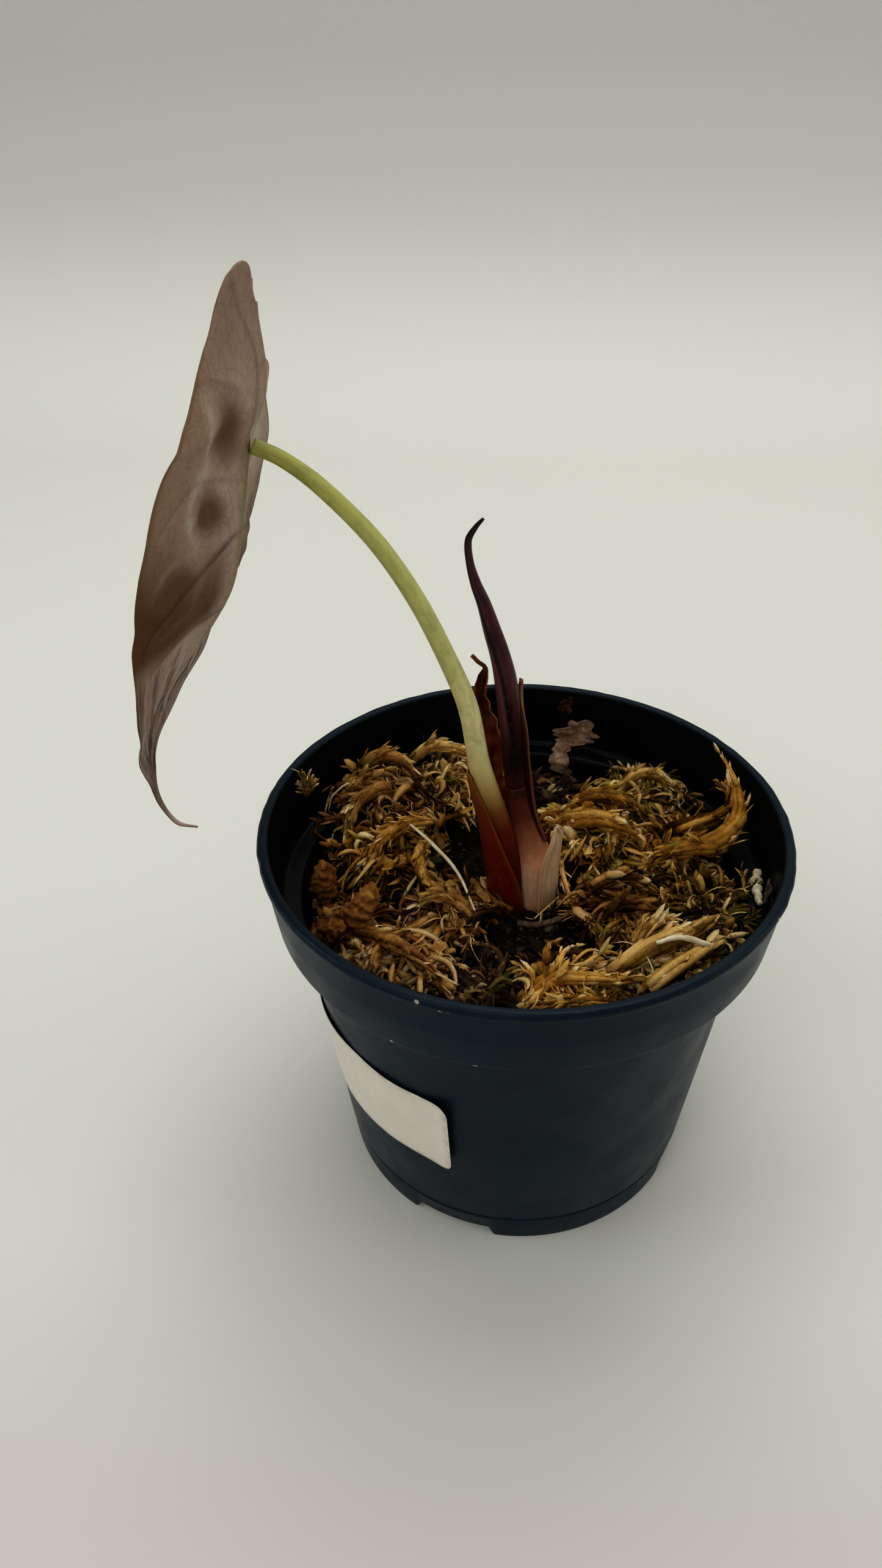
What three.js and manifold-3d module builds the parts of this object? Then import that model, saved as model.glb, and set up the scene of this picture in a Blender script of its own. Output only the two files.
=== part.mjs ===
// Potted variegated alocasia: one arching leaf and one rolled new leaf, in old moss and peat in a round pot.
// Millimetres, +Z up. The origin is on the pot's axis, on the surface that the pot stands on.
// The plant leans towards -X, and -Y is the side from which the label and the open leaf are both seen.
import * as THREE from "three";
import { mergeVertices } from "three/addons/utils/BufferGeometryUtils.js";
import Module from "manifold-3d";

// Pot
const RIM_RADIUS = 60;
const POT_HEIGHT = 96;
const LIP_WIDTH = 2.6;
const LIP_HEIGHT = 2.2;
const WALL = 1.3;
const COLLAR_BOTTOM_Z = 77.6;
const COLLAR_BOTTOM_RADIUS = 57.4;
const BODY_TOP_RADIUS = 52.3;
const LEDGE_Z = 78.8;
const GROOVE_Z = 8.6;
const GROOVE_RADIUS = 44.6;
const GROOVE_DEPTH = 0.5;
const FOOT_RADIUS = 43.6;
const FOOT_RING_WIDTH = 1.7;
const FOOT_HEIGHT = 3.2;
const FLOOR_THICKNESS = 1.6;
const CENTRE_FOOT_RADIUS = 8;
const NOTCH_ANGLE = 27;
const FIRST_NOTCH = -18.5;
const NOTCH_COUNT = 4;
const DRAIN_COUNT = 8;
const DRAIN_RADIUS = 3.5;
const DRAIN_CIRCLE = 29;
const POT_SIDES = 36;

// Label
const LABEL_WIDTH = 66.7;
const LABEL_HEIGHT = 25.4;
const LABEL_THICKNESS = 0.6;
const LABEL_CORNER = 3.2;
const LABEL_RIGHT_END = -16;
const LABEL_MIDDLE_Z = 41.5;
const LABEL_LIFT = 1.6;
const LABEL_LIFT_LENGTH = 9;

// Peat and moss
const PEAT_TOP_Z = 71;
const GAP = 0.3;
const MOSS_SEED = 11;

// Open leaf: places along the blade are measured from the petiole, towards the tip
const BLADE_THICKNESS = 0.7;
const LOBE_LENGTH = 32.5;
const NOTCH_DEPTH = 7;
const BLADE_ROWS = 27;
const BLADE_COLUMNS = 14;
const MIDRIB = [
  [-48.2, 0, 211.6], [-49.2, 0, 206.4], [-48.7, 0, 201.5], [-48.3, 0, 192], [-50, 0, 186],
  [-53.4, 0, 180], [-55.6, 0, 170], [-57.4, 0, 162], [-60, 0, 152.5], [-64.2, 0, 145], [-71.4, 0, 135],
  [-76.6, 0, 129], [-82.4, 0, 120.5], [-84.8, 0, 111.6], [-85, 0, 104], [-84, 0, 96.3], [-80.9, 0, 90.5],
  [-76.1, 0, 89.5],
];
const HALF_WIDTH = [
  [-32.5, 5], [-27, 13.5], [-20, 22], [-10, 28.5], [0, 31], [10, 32], [20, 31.5], [35, 29], [50, 24.5],
  [65, 18], [78, 11], [88, 6], [96, 3], [104, 0.6],
];
const NEAR_SWING = [
  [-32, 12], [0, 13.5], [25, 20], [38, 18], [50, 9], [60, -4], [72, -14], [90, -28], [104, -30],
];
const FAR_SWING = [
  [-32, 14], [-20, 20], [-10, 15], [0, 6], [25, 7], [45, 2], [62, -9], [72, -11], [82, 2], [92, 16], [104, 16],
];
const FAR_LOBE_SHORTER = 3.5;
const WAVE_HEIGHT = 0.5;
const WAVE_LENGTH = 17;
const CALM_TIP = 85;
const UNDERSIDE = 1;
const MIDRIB_RIDGE = 0.9;
const RIDGE_START = 2;
const RIDGE_END = 80;
// Hollows between the veins: along, across, half length, half width, depth
const HOLLOWS = [
  [-3, 9.5, 9, 6, 2], [13, 10.7, 6, 6, 1.6], [28, 17, 6, 6, -1.2],
  [-3, -10, 9, 6, 2], [13, -11, 6, 6, 1.6], [30, -16, 6, 6, -1.2],
];

// Petiole: a point on its middle line, and its radius there
const PETIOLE = [
  [[-2.6, 0, 64], 3.5], [[-2.8, 0, 70], 3.7], [[-3.3, -0.3, 80], 4], [[-4.6, -0.3, 88], 3.8],
  [[-6.3, 0, 95.4], 3.2], [[-8.1, 0, 102.2], 2.8], [[-10.1, 0, 110.9], 2.4], [[-12.5, 0, 124.8], 2.2],
  [[-17.1, 0, 137.2], 2.0], [[-23.1, 0, 150.2], 1.9], [[-30.6, 0, 162], 1.8], [[-40.1, 0, 172.3], 1.65],
  [[-47, 0, 177.6], 1.5], [[-52.3, 0, 180], 1.5],
];
const PETIOLE_SIDES = 10;
const PETIOLE_RINGS = 27;

// Stem foot, with the new leaf rising out of it
const STEM_FOOT = [
  [[2.8, 1.5, 62], 3.6], [[2.8, 1.5, 68], 4.4], [[2.9, 1.6, 75], 4.9], [[2.6, 1.8, 82], 4.9],
  [[0.6, 2.2, 88.5], 3.9], [[-0.5, 2.8, 93], 3.2], [[-1.5, 3.2, 98], 2.9], [[-1.9, 3.5, 102.4], 2.7],
];
const NEW_LEAF = [
  [[-1.9, 3.6, 103], 2.4], [[-2.3, 3.8, 108], 2.4], [[-3.1, 4, 116], 2.4], [[-4.4, 4, 128.3], 2.4],
  [[-5.8, 4, 135], 2.1], [[-7.7, 4, 141.3], 1.8], [[-9.4, 4, 147], 1.4], [[-11, 4, 151.2], 1.1],
  [[-12.2, 4, 155.8], 0.8], [[-12.5, 4, 160.4], 0.7], [[-11.1, 4, 163.2], 0.5], [[-9.6, 4, 165], 0.3],
];

// Sheaths: a point on the line that the sheath wraps, its radius, and the first and last angle that it covers
const SHEATH_THICKNESS = 0.7;
const RED_SHEATH = [
  [[-2.7, 0, 66], 4.5, 120, 330], [[-3, -0.1, 74], 4.6, 120, 318], [[-3.5, -0.3, 81], 4.75, 122, 302],
  [[-4.6, -0.3, 88], 4.5, 125, 285], [[-6.3, 0, 95.4], 3.95, 130, 270], [[-8.1, 0, 102.2], 3.5, 140, 255],
  [[-9.4, 0, 108.2], 3.15, 165, 225],
];
const SCALE_LEAF = [
  [[2.8, 1.5, 70], 5.2, -75, 20], [[2.9, 1.6, 76], 5.7, -78, 24], [[2.7, 1.7, 82], 5.9, -74, 22],
  [[2.3, 1.8, 87], 6.4, -66, 14], [[2.1, 1.8, 91.5], 6.9, -54, 0], [[1.9, 1.8, 94.8], 6.8, -42, -26],
];
const BUD_SHEATH = [
  [[0.6, 2.4, 88.5], 4.8, -20, 120], [[-0.5, 2.9, 93], 4.1, -20, 125], [[-1.6, 3.4, 99], 3.8, -15, 130],
  [[-2.1, 3.8, 107], 3.3, -8, 120], [[-3.1, 4, 116], 3.25, 0, 95], [[-3.9, 4, 123], 3.2, 8, 60],
  [[-4.3, 4.2, 128.6], 3.2, 14, 34],
];

// Old dry sheath behind the petiole: points up its middle, and its half width; its top curls over
const DRY_SHEATH = [
  [[-2.6, 8.6, 72], 2.4], [[-3.4, 8.6, 80], 2.6], [[-5, 8.6, 88], 2.7], [[-6.8, 8.8, 96], 2.7],
  [[-7.4, 9, 104], 2.6], [[-7.2, 9.2, 110], 2.5], [[-8.8, 9.6, 116], 1.8], [[-10.4, 10, 121], 1.5],
  [[-9.9, 10, 126], 0.9], [[-9.3, 10, 128.8], 0.5], [[-10.8, 10, 130.2], 0.45], [[-12.2, 10, 131.6], 0.4],
];

// Root stub at the foot, with a hollow end: points along it, and a radius
const ROOT_STUB = [
  [[-0.3, -6.6, 69.6], 0.85], [[3.6, -7.6, 70.2], 0.75], [[8, -7.4, 71.6], 0.7], [[12, -5.6, 73], 0.65],
  [[16, -2.6, 73.4], 0.5],
];
// The bore in the stub's end
const ROOT_BORE = [[[-2, -6.2, 69.4], 0.4], [[1.3, -7.1, 69.9], 0.4]];

// Holes in the peat for the petiole, the stem foot and the dry sheath: x, y and radius
const STEM_HOLES = [[-2.8, 0, 5.6], [2.8, 1.6, 6.5], [-2.6, 8.6, 3.1]];
const STEM_HOLE_BOTTOM = 61;

// The round column that the moss leaves free for the plant
const PLANT_MIDDLE = [0.2, 1.6];
const PLANT_CLEAR = 10.6;

// Scraps of dry leaf on the inside of the wall: height, angle, half width, distance from the axis
const SCRAP_THICKNESS = 0.6;
const SCRAP_COLUMNS = 4;
const SCRAPS = {
  wall_flake: { colour: 0x7a6454, stations: [
    [88.2, 74.5, 2.6, 55.9], [86, 75, 4.2, 55.7], [84, 76.3, 5.4, 55.5], [82, 76.5, 4.6, 55.3],
    [80.7, 78.6, 2.8, 54.4], [80, 79.2, 2.4, 52.9], [79.6, 79.4, 2.6, 51.2], [77.6, 79.3, 2.9, 50],
    [75.6, 78.2, 2.4, 49.8], [74.2, 76, 1.1, 49.6], [72.6, 73.6, 0.7, 49.4],
  ] },
  wall_scrap: { colour: 0x3d1c16, stations: [
    [94.6, 78.5, 1, 55.8], [92.4, 79.5, 1.9, 55.6], [90.6, 79, 0.9, 55.5],
  ] },
  brown_scrap: { colour: 0x4a4436, stations: [
    [87.6, -10.5, 2, 55.8], [85, -10, 2.4, 55.6], [82.4, -9, 1.6, 55.3],
  ] },
};

// Sprig on the wall: four short leaflets that fan out from one foot
const WALL_SPRIG = [
  [[[-53, 15.6, 87.8], 0.8], [[-52.8, 15.4, 90.6], 1.3], [[-53.4, 15.4, 94], 0.8], [[-53.9, 15.4, 96.6], 0.3]],
  [[[-52.9, 15.6, 87.9], 0.8], [[-52.3, 15, 91], 1.2], [[-51.9, 14.8, 93], 0.8], [[-51.8, 14.6, 95], 0.3]],
  [[[-52.9, 15.6, 88], 0.8], [[-51.9, 15, 91.4], 1], [[-51.1, 14.6, 92.8], 0.8], [[-50.4, 14.2, 94.6], 0.3]],
  [[[-53, 15.6, 88.2], 0.8], [[-53.8, 15, 90.8], 0.8], [[-54.3, 14.6, 93], 0.3]],
];

// Loose pale straws: points along each, and a radius
const STRAWS = {
  straw_left: [[[-27, 7, 87.5], 0.45], [[-21, 1.5, 86], 0.5], [[-14.6, -6, 84], 0.45], [[-10, -15.5, 81], 0.4]],
  straw_right: [[[28.4, -29.6, 87], 0.7], [[33.4, -28.4, 87.8], 0.8], [[39.4, -29, 86.6], 0.75]],
  pale_curl: [
    [[54.1, 0, 83.4], 0.6], [[53.7, -1.5, 81.8], 1.1], [[53.6, -4.5, 80.7], 0.9], [[53.7, -8.6, 80.2], 0.6],
  ],
};

// Moss clumps: a low lumpy cushion, with strands that stand out of it as far as the clump's top
const STRAND_POINTS = 4;
const STRAND_SPREAD = 0.9;
const STRAND_ROOT = 1.4;
const TIP_SHARE = 0.35;
const GOLDEN_TURN = 2.39996;
const CUSHION_WIDTH = 1.08;
const CUSHION_HEIGHT = 0.66;
const CUSHION_LUMPS = 0.2;
// Middle, radii, top, and the number, length, thickness, extra rise and droop of the strands
const MOSS = [
  {
    name: "moss_right", centre: [38, 13], radii: [11, 12], top: 82, seed: 1, colour: 0x8a6a34,
    strands: 11, length: 14, thick: 1.3, rise: 1, droop: 3,
    extras: [
      [[[37, 10, 79], 2.4], [[43, 9, 81], 2.4], [[48, 10, 83.5], 2.1], [[50.6, 12.5, 88], 1.8],
        [[50.4, 16, 92.5], 1.4], [[48.6, 21, 96], 0.9], [[46.8, 25.5, 98.6], 0.5]],
      [[[38, 15, 80], 1.6], [[44, 14.5, 83], 1.6], [[48.2, 14.5, 87], 1.4], [[49.2, 17, 91], 1.1],
        [[46.8, 22, 91], 1], [[46, 24.5, 88.4], 0.9]],
    ],
  },
  {
    name: "moss_left_back", centre: [-36, 26], radii: [12, 12], top: 89, seed: 2, colour: 0x7a5326,
    strands: 11, length: 11, thick: 1.3, rise: 0, droop: 4,
  },
  {
    name: "moss_pale_back", centre: [-20, 35], radii: [11, 9], top: 87, seed: 3, colour: 0x8c8050,
    strands: 8, length: 12, thick: 1.2, rise: 0, droop: 4,
  },
  {
    name: "moss_left", centre: [-30, 6], radii: [12, 11], top: 87, seed: 4, colour: 0x86743c,
    strands: 10, length: 12, thick: 1.3, rise: 0, droop: 5,
  },
  {
    name: "moss_nodules", centre: [-40, -16], radii: [8, 10], top: 79, seed: 5, colour: 0x8a5a2c,
    strands: 3, length: 8, thick: 1.1, rise: 0, droop: 2,
    extras: [
      [[[-43, -11, 72], 2], [[-45.6, -8, 81], 2.8], [[-45.4, -8.6, 85], 2.6],
        [[-44.8, -9.4, 88], 1.4]],
      [[[-38, -17, 72], 2.2], [[-35.6, -16, 81], 3], [[-34, -15, 85], 2.4],
        [[-32.6, -14.4, 88], 1]],
      [[[-41, -20, 72], 2], [[-42.4, -23, 80], 2.6], [[-40.8, -25, 82.6], 2.4],
        [[-38.6, -26.4, 83.6], 1.2]],
    ],
  },
  {
    name: "moss_left_front", centre: [-26, -30], radii: [12, 11], top: 83, seed: 6, colour: 0x7d6238,
    strands: 10, length: 12, thick: 1.3, rise: 0, droop: 3,
  },
  {
    name: "moss_front", centre: [-6, -39], radii: [10, 9], top: 81, seed: 7, colour: 0x4f3a22,
    strands: 8, length: 10, thick: 1.1, rise: 0, droop: 2,
  },
  {
    name: "moss_front_gold", centre: [12, -38], radii: [12, 9], top: 85, seed: 8, colour: 0xa8823f,
    strands: 9, length: 12, thick: 1.4, rise: 0, droop: 2.5,
  },
  {
    name: "moss_front_right", centre: [33, -28], radii: [11, 10], top: 85, seed: 9, colour: 0xa0834c,
    strands: 10, length: 11, thick: 1.3, rise: 0, droop: 2.5,
  },
  {
    name: "moss_spikes", centre: [41, -9], radii: [8, 9], top: 79, seed: 10, colour: 0x7f6d2e,
    strands: 9, length: 5, thick: 0.9, rise: 4, droop: -2,
  },
  {
    name: "moss_middle_right", centre: [23, -6], radii: [12, 9], top: 80, seed: 11, colour: 0x77603a,
    strands: 7, length: 11, thick: 1.1, rise: 0, droop: 2.5,
  },
  {
    name: "moss_behind_stem", centre: [17, 17], radii: [11, 12], top: 86, seed: 12, colour: 0x9a6f22,
    strands: 10, length: 11, thick: 1.3, rise: 0, droop: 4,
  },
  {
    name: "moss_beside_stem", centre: [-15, -10], radii: [9, 10], top: 80, seed: 13, colour: 0x7b6540,
    strands: 8, length: 11, thick: 1.1, rise: 0, droop: 2.5,
  },
  {
    name: "moss_back", centre: [4, 36], radii: [13, 9], top: 78.5, seed: 14, colour: 0x5a4424,
    strands: 8, length: 11, thick: 1.1, rise: 0, droop: 2,
  },
  {
    name: "moss_back_right", centre: [31, 33], radii: [8, 7], top: 83, seed: 15, colour: 0x85703c,
    strands: 7, length: 8, thick: 1.1, rise: 1.5, droop: 2,
  },
];

const wasm = await Module();
wasm.setup();
const { Manifold } = wasm;
const alocasia = new THREE.Group();

// Smooth curve through pairs of place and value
function smoothLookup(stations, place) {
  const last = stations.length - 1;
  if (place <= stations[0][0]) return stations[0][1];
  if (place >= stations[last][0]) return stations[last][1];
  let i = 0;
  while (stations[i + 1][0] < place) i += 1;
  const slope = (a, b) => (stations[b][1] - stations[a][1]) / (stations[b][0] - stations[a][0]);
  const span = stations[i + 1][0] - stations[i][0];
  const startSlope = i > 0 ? slope(i - 1, i + 1) : slope(i, i + 1);
  const endSlope = i + 1 < last ? slope(i, i + 2) : slope(i, i + 1);
  const t = (place - stations[i][0]) / span;
  const rise = 3 * t * t - 2 * t * t * t;
  return stations[i][1] * (1 - rise) + stations[i + 1][1] * rise
    + span * startSlope * (t ** 3 - 2 * t * t + t) + span * endSlope * (t ** 3 - t * t);
}

function degrees(angle) {
  return THREE.MathUtils.degToRad(angle);
}

// Same random draws on every run, from a seed
function randomFrom(seed) {
  let state = seed * 7919 + 17;
  return () => {
    state = (state * 48271) % 2147483647;
    return state / 2147483647;
  };
}

function finish(colour, roughness) {
  return new THREE.MeshStandardMaterial({ color: colour, roughness, metalness: 0 });
}

function addPiece(name, geometry, colour, roughness) {
  const piece = new THREE.Mesh(geometry, finish(colour, roughness));
  piece.name = name;
  alocasia.add(piece);
  return piece;
}

// A geometry from points and triangles, with its faces turned outwards
function closedGeometry(points, triangles) {
  let volume = 0;
  for (const [a, b, c] of triangles) {
    volume += points[a].dot(new THREE.Vector3().crossVectors(points[b], points[c]));
  }
  const outward = volume < 0 ? triangles.map(([a, b, c]) => [a, c, b]) : triangles;
  const geometry = new THREE.BufferGeometry().setFromPoints(points);
  geometry.setIndex(outward.flat());
  return geometry;
}

function toSolid(geometry) {
  const bare = geometry.clone();
  bare.deleteAttribute("normal");
  bare.deleteAttribute("uv");
  const merged = mergeVertices(bare, 1e-4);
  return new Manifold(new wasm.Mesh({
    numProp: 3,
    vertProperties: new Float32Array(merged.attributes.position.array),
    triVerts: new Uint32Array(merged.index.array),
  }));
}

// Only the largest piece of a cut solid is kept
function toGeometry(solid) {
  const largest = solid.decompose().reduce((best, next) => (next.volume() > best.volume() ? next : best));
  const mesh = largest.getMesh();
  const geometry = new THREE.BufferGeometry();
  geometry.setAttribute("position", new THREE.BufferAttribute(new Float32Array(mesh.vertProperties), 3));
  geometry.setIndex(new THREE.BufferAttribute(new Uint32Array(mesh.triVerts), 1));
  return geometry;
}

// A skin over rings of equal length, closed by a fan at each end
function loft(rings) {
  const sides = rings[0].length;
  const points = rings.flat();
  const triangles = [];
  for (let row = 0; row < rings.length - 1; row += 1) {
    for (let i = 0; i < sides; i += 1) {
      const next = (i + 1) % sides;
      const low = row * sides;
      const high = low + sides;
      triangles.push([low + i, low + next, high + next], [low + i, high + next, high + i]);
    }
  }
  for (const [ring, turn] of [[0, true], [rings.length - 1, false]]) {
    const centre = points.length;
    const middle = new THREE.Vector3();
    for (const point of rings[ring]) middle.addScaledVector(point, 1 / sides);
    points.push(middle);
    for (let i = 0; i < sides; i += 1) {
      const a = ring * sides + i;
      const b = ring * sides + (i + 1) % sides;
      triangles.push(turn ? [centre, b, a] : [centre, a, b]);
    }
  }
  return closedGeometry(points, triangles);
}

// A round stalk along points with a radius at each; the radius and the path are both smooth
function stalk(stations, sides, ringCount, grow = 0) {
  const path = new THREE.CatmullRomCurve3(stations.map(([point]) => new THREE.Vector3(...point)));
  const frames = path.computeFrenetFrames(ringCount - 1);
  const rings = [];
  for (let row = 0; row < ringCount; row += 1) {
    const u = row / (ringCount - 1);
    const t = path.getUtoTmapping(u) * (stations.length - 1);
    const radius = smoothLookup(stations.map(([, r], i) => [i, r]), t) + grow;
    const centre = path.getPointAt(u);
    const ring = [];
    for (let i = 0; i < sides; i += 1) {
      const turn = (2 * Math.PI * i) / sides;
      ring.push(centre.clone()
        .addScaledVector(frames.normals[row], radius * Math.cos(turn))
        .addScaledVector(frames.binormals[row], radius * Math.sin(turn)));
    }
    rings.push(ring);
  }
  return loft(rings);
}

// A thin blade over a grid of points: both faces are split into triangles alike
function blade(grid, thickness) {
  const rows = grid.length;
  const columns = grid[0].length;
  const normals = grid.map((line, i) => line.map((point, j) => {
    const along = grid[Math.min(i + 1, rows - 1)][j].clone().sub(grid[Math.max(i - 1, 0)][j]);
    const across = line[Math.min(j + 1, columns - 1)].clone().sub(line[Math.max(j - 1, 0)]);
    return along.cross(across).normalize();
  }));
  const halfOf = typeof thickness === "function" ? thickness : () => thickness / 2;
  const points = [];
  for (const side of [1, -1]) {
    grid.forEach((line, i) => line.forEach((point, j) => {
      points.push(point.clone().addScaledVector(normals[i][j], side * halfOf(i, j, side)));
    }));
  }
  const at = (side, i, j) => side * rows * columns + i * columns + j;
  const triangles = [];
  for (let i = 0; i < rows - 1; i += 1) {
    for (let j = 0; j < columns - 1; j += 1) {
      triangles.push([at(0, i, j), at(0, i, j + 1), at(0, i + 1, j + 1)]);
      triangles.push([at(0, i, j), at(0, i + 1, j + 1), at(0, i + 1, j)]);
      triangles.push([at(1, i, j), at(1, i + 1, j + 1), at(1, i, j + 1)]);
      triangles.push([at(1, i, j), at(1, i + 1, j), at(1, i + 1, j + 1)]);
    }
  }
  const edge = [];
  for (let j = 0; j < columns - 1; j += 1) edge.push([0, j]);
  for (let i = 0; i < rows - 1; i += 1) edge.push([i, columns - 1]);
  for (let j = columns - 1; j > 0; j -= 1) edge.push([rows - 1, j]);
  for (let i = rows - 1; i > 0; i -= 1) edge.push([i, 0]);
  edge.forEach(([i, j], k) => {
    const [ni, nj] = edge[(k + 1) % edge.length];
    triangles.push([at(0, i, j), at(1, i, j), at(1, ni, nj)], [at(0, i, j), at(1, ni, nj), at(0, ni, nj)]);
  });
  return closedGeometry(points, triangles);
}

// Pot
const bodySlope = (BODY_TOP_RADIUS - GROOVE_RADIUS) / (COLLAR_BOTTOM_Z - GROOVE_Z);
const outsideRadius = (z) => GROOVE_RADIUS + bodySlope * (z - GROOVE_Z);
const insideRadius = (z) => outsideRadius(z) - WALL;
const FLOOR_TOP_Z = FOOT_HEIGHT + FLOOR_THICKNESS;

function potProfile() {
  const lipInside = RIM_RADIUS - LIP_WIDTH;
  const underLip = POT_HEIGHT - LIP_HEIGHT;
  return [
    [0, 0], [CENTRE_FOOT_RADIUS - 0.6, 0], [CENTRE_FOOT_RADIUS, FOOT_HEIGHT],
    [FOOT_RADIUS - FOOT_RING_WIDTH - 0.4, FOOT_HEIGHT], [FOOT_RADIUS - FOOT_RING_WIDTH, 0], [FOOT_RADIUS, 0],
    [GROOVE_RADIUS - 0.1, GROOVE_Z - 0.5], [GROOVE_RADIUS - GROOVE_DEPTH, GROOVE_Z],
    [GROOVE_RADIUS + 0.1, GROOVE_Z + 0.5], [BODY_TOP_RADIUS, COLLAR_BOTTOM_Z],
    [COLLAR_BOTTOM_RADIUS - 0.7, COLLAR_BOTTOM_Z - 0.3], [COLLAR_BOTTOM_RADIUS, COLLAR_BOTTOM_Z + 0.4],
    [RIM_RADIUS - 1.1, underLip - 0.2], [RIM_RADIUS - 0.1, underLip + 0.3], [RIM_RADIUS, POT_HEIGHT - 0.7],
    [RIM_RADIUS - 0.6, POT_HEIGHT], [lipInside + 0.5, POT_HEIGHT], [lipInside, POT_HEIGHT - 0.6],
    [COLLAR_BOTTOM_RADIUS - WALL, LEDGE_Z + 1.2], [COLLAR_BOTTOM_RADIUS - WALL - 0.9, LEDGE_Z + 0.3],
    [BODY_TOP_RADIUS - WALL + 0.5, LEDGE_Z], [insideRadius(LEDGE_Z - 1), LEDGE_Z - 1],
    [insideRadius(FLOOR_TOP_Z + 1), FLOOR_TOP_Z + 1], [insideRadius(FLOOR_TOP_Z) - 1.2, FLOOR_TOP_Z],
    [0, FLOOR_TOP_Z],
  ].map(([r, z]) => new THREE.Vector2(r, z));
}

// A notch through the foot ring, with round upper corners
function footNotch(angle) {
  const width = 2 * FOOT_RADIUS * Math.sin(degrees(NOTCH_ANGLE / 2));
  const corner = FOOT_HEIGHT * 0.8;
  const opening = new THREE.Shape();
  opening.moveTo(-width / 2, -1);
  opening.lineTo(-width / 2, FOOT_HEIGHT - corner);
  opening.quadraticCurveTo(-width / 2, FOOT_HEIGHT, -width / 2 + corner, FOOT_HEIGHT);
  opening.lineTo(width / 2 - corner, FOOT_HEIGHT);
  opening.quadraticCurveTo(width / 2, FOOT_HEIGHT, width / 2, FOOT_HEIGHT - corner);
  opening.lineTo(width / 2, -1);
  const depth = 8;
  const cutter = new THREE.ExtrudeGeometry(opening, { depth, bevelEnabled: false, curveSegments: 3 });
  cutter.rotateX(Math.PI / 2);
  cutter.translate(0, -FOOT_RADIUS + depth * 0.8, 0);
  cutter.rotateZ(degrees(angle));
  return toSolid(cutter);
}

function makePot() {
  const shell = new THREE.LatheGeometry(potProfile(), POT_SIDES);
  shell.rotateX(Math.PI / 2);
  let pot = toSolid(shell);
  for (let i = 0; i < NOTCH_COUNT; i += 1) {
    pot = pot.subtract(footNotch(FIRST_NOTCH + (360 * i) / NOTCH_COUNT));
  }
  for (let i = 0; i < DRAIN_COUNT; i += 1) {
    const turn = (2 * Math.PI * (i + 0.5)) / DRAIN_COUNT;
    const drill = new THREE.CylinderGeometry(DRAIN_RADIUS, DRAIN_RADIUS, 10, 12);
    drill.rotateX(Math.PI / 2);
    drill.translate(DRAIN_CIRCLE * Math.cos(turn), DRAIN_CIRCLE * Math.sin(turn), FLOOR_TOP_Z);
    pot = pot.subtract(toSolid(drill));
  }
  return toGeometry(pot);
}

// Label: a rounded sheet wrapped on the cone, with its right end lifting off a little
function labelGrid() {
  const columns = 18;
  const rows = 5;
  const grid = [];
  for (let j = 0; j <= columns; j += 1) {
    const along = (j / columns) * LABEL_WIDTH;
    const toEnd = Math.min(along, LABEL_WIDTH - along);
    const intoCorner = Math.max(0, LABEL_CORNER - toEnd);
    const inset = LABEL_CORNER - Math.sqrt(LABEL_CORNER ** 2 - intoCorner ** 2);
    const lift = LABEL_LIFT * Math.max(0, 1 - along / LABEL_LIFT_LENGTH) ** 2;
    const line = [];
    for (let i = 0; i <= rows; i += 1) {
      const up = (i / rows - 0.5) * (LABEL_HEIGHT - 2 * inset);
      const z = LABEL_MIDDLE_Z + up;
      const turn = degrees(LABEL_RIGHT_END - 90) - along / outsideRadius(LABEL_MIDDLE_Z);
      const radius = outsideRadius(z) + GAP + LABEL_THICKNESS / 2 + lift;
      line.push(new THREE.Vector3(radius * Math.cos(turn), radius * Math.sin(turn), z));
    }
    grid.push(line);
  }
  return grid;
}

// Peat: its top is a formula, and every moss clump starts just above it
function peatTop(x, y) {
  const r = Math.hypot(x, y);
  const hollow = -4.5 * Math.exp(-(((x - 4) / 17) ** 2) - ((y + 16) / 10) ** 2);
  const crumbs = 0.8 * Math.sin(x * 0.42 + 1.3) * Math.cos(y * 0.47 + 0.6) + 0.5 * Math.sin(x * 0.9 + y * 0.7);
  return PEAT_TOP_Z + hollow + crumbs * (r < 46 ? 1 : 0.3);
}

function peatBody() {
  const sides = 24;
  const shoulderZ = PEAT_TOP_Z - 6;
  const ringAt = (share, z) => {
    const ring = [];
    for (let i = 0; i < sides; i += 1) {
      const turn = (2 * Math.PI * i) / sides;
      const radius = share * (insideRadius(z ?? shoulderZ) - 1.1);
      const x = radius * Math.cos(turn);
      const y = radius * Math.sin(turn);
      ring.push(new THREE.Vector3(x, y, z ?? peatTop(x, y)));
    }
    return ring;
  };
  return toSolid(loft([
    ringAt(0.93, FLOOR_TOP_Z + GAP), ringAt(0.985, FLOOR_TOP_Z + 2), ringAt(1, shoulderZ),
    ...[0.98, 0.84, 0.68, 0.52, 0.35, 0.18].map((share) => ringAt(share)),
  ]));
}

// Plain round holes in the peat, in which the petiole, the stem foot and the dry sheath stand
function peatWithHoles() {
  let peat = peatBody();
  for (const [x, y, radius] of STEM_HOLES) {
    const drill = new THREE.CylinderGeometry(radius, radius, 2 * (PEAT_TOP_Z - STEM_HOLE_BOTTOM), 16);
    drill.rotateX(Math.PI / 2);
    drill.translate(x, y, PEAT_TOP_Z);
    peat = peat.subtract(toSolid(drill));
  }
  return peat.subtract(toSolid(stalk(ROOT_STUB, 6, 9, GAP)));
}

// Open leaf
const midribCurve = new THREE.CatmullRomCurve3(MIDRIB.map((point) => new THREE.Vector3(...point)));
midribCurve.arcLengthDivisions = 800;
const midribLength = midribCurve.getLength();

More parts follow.
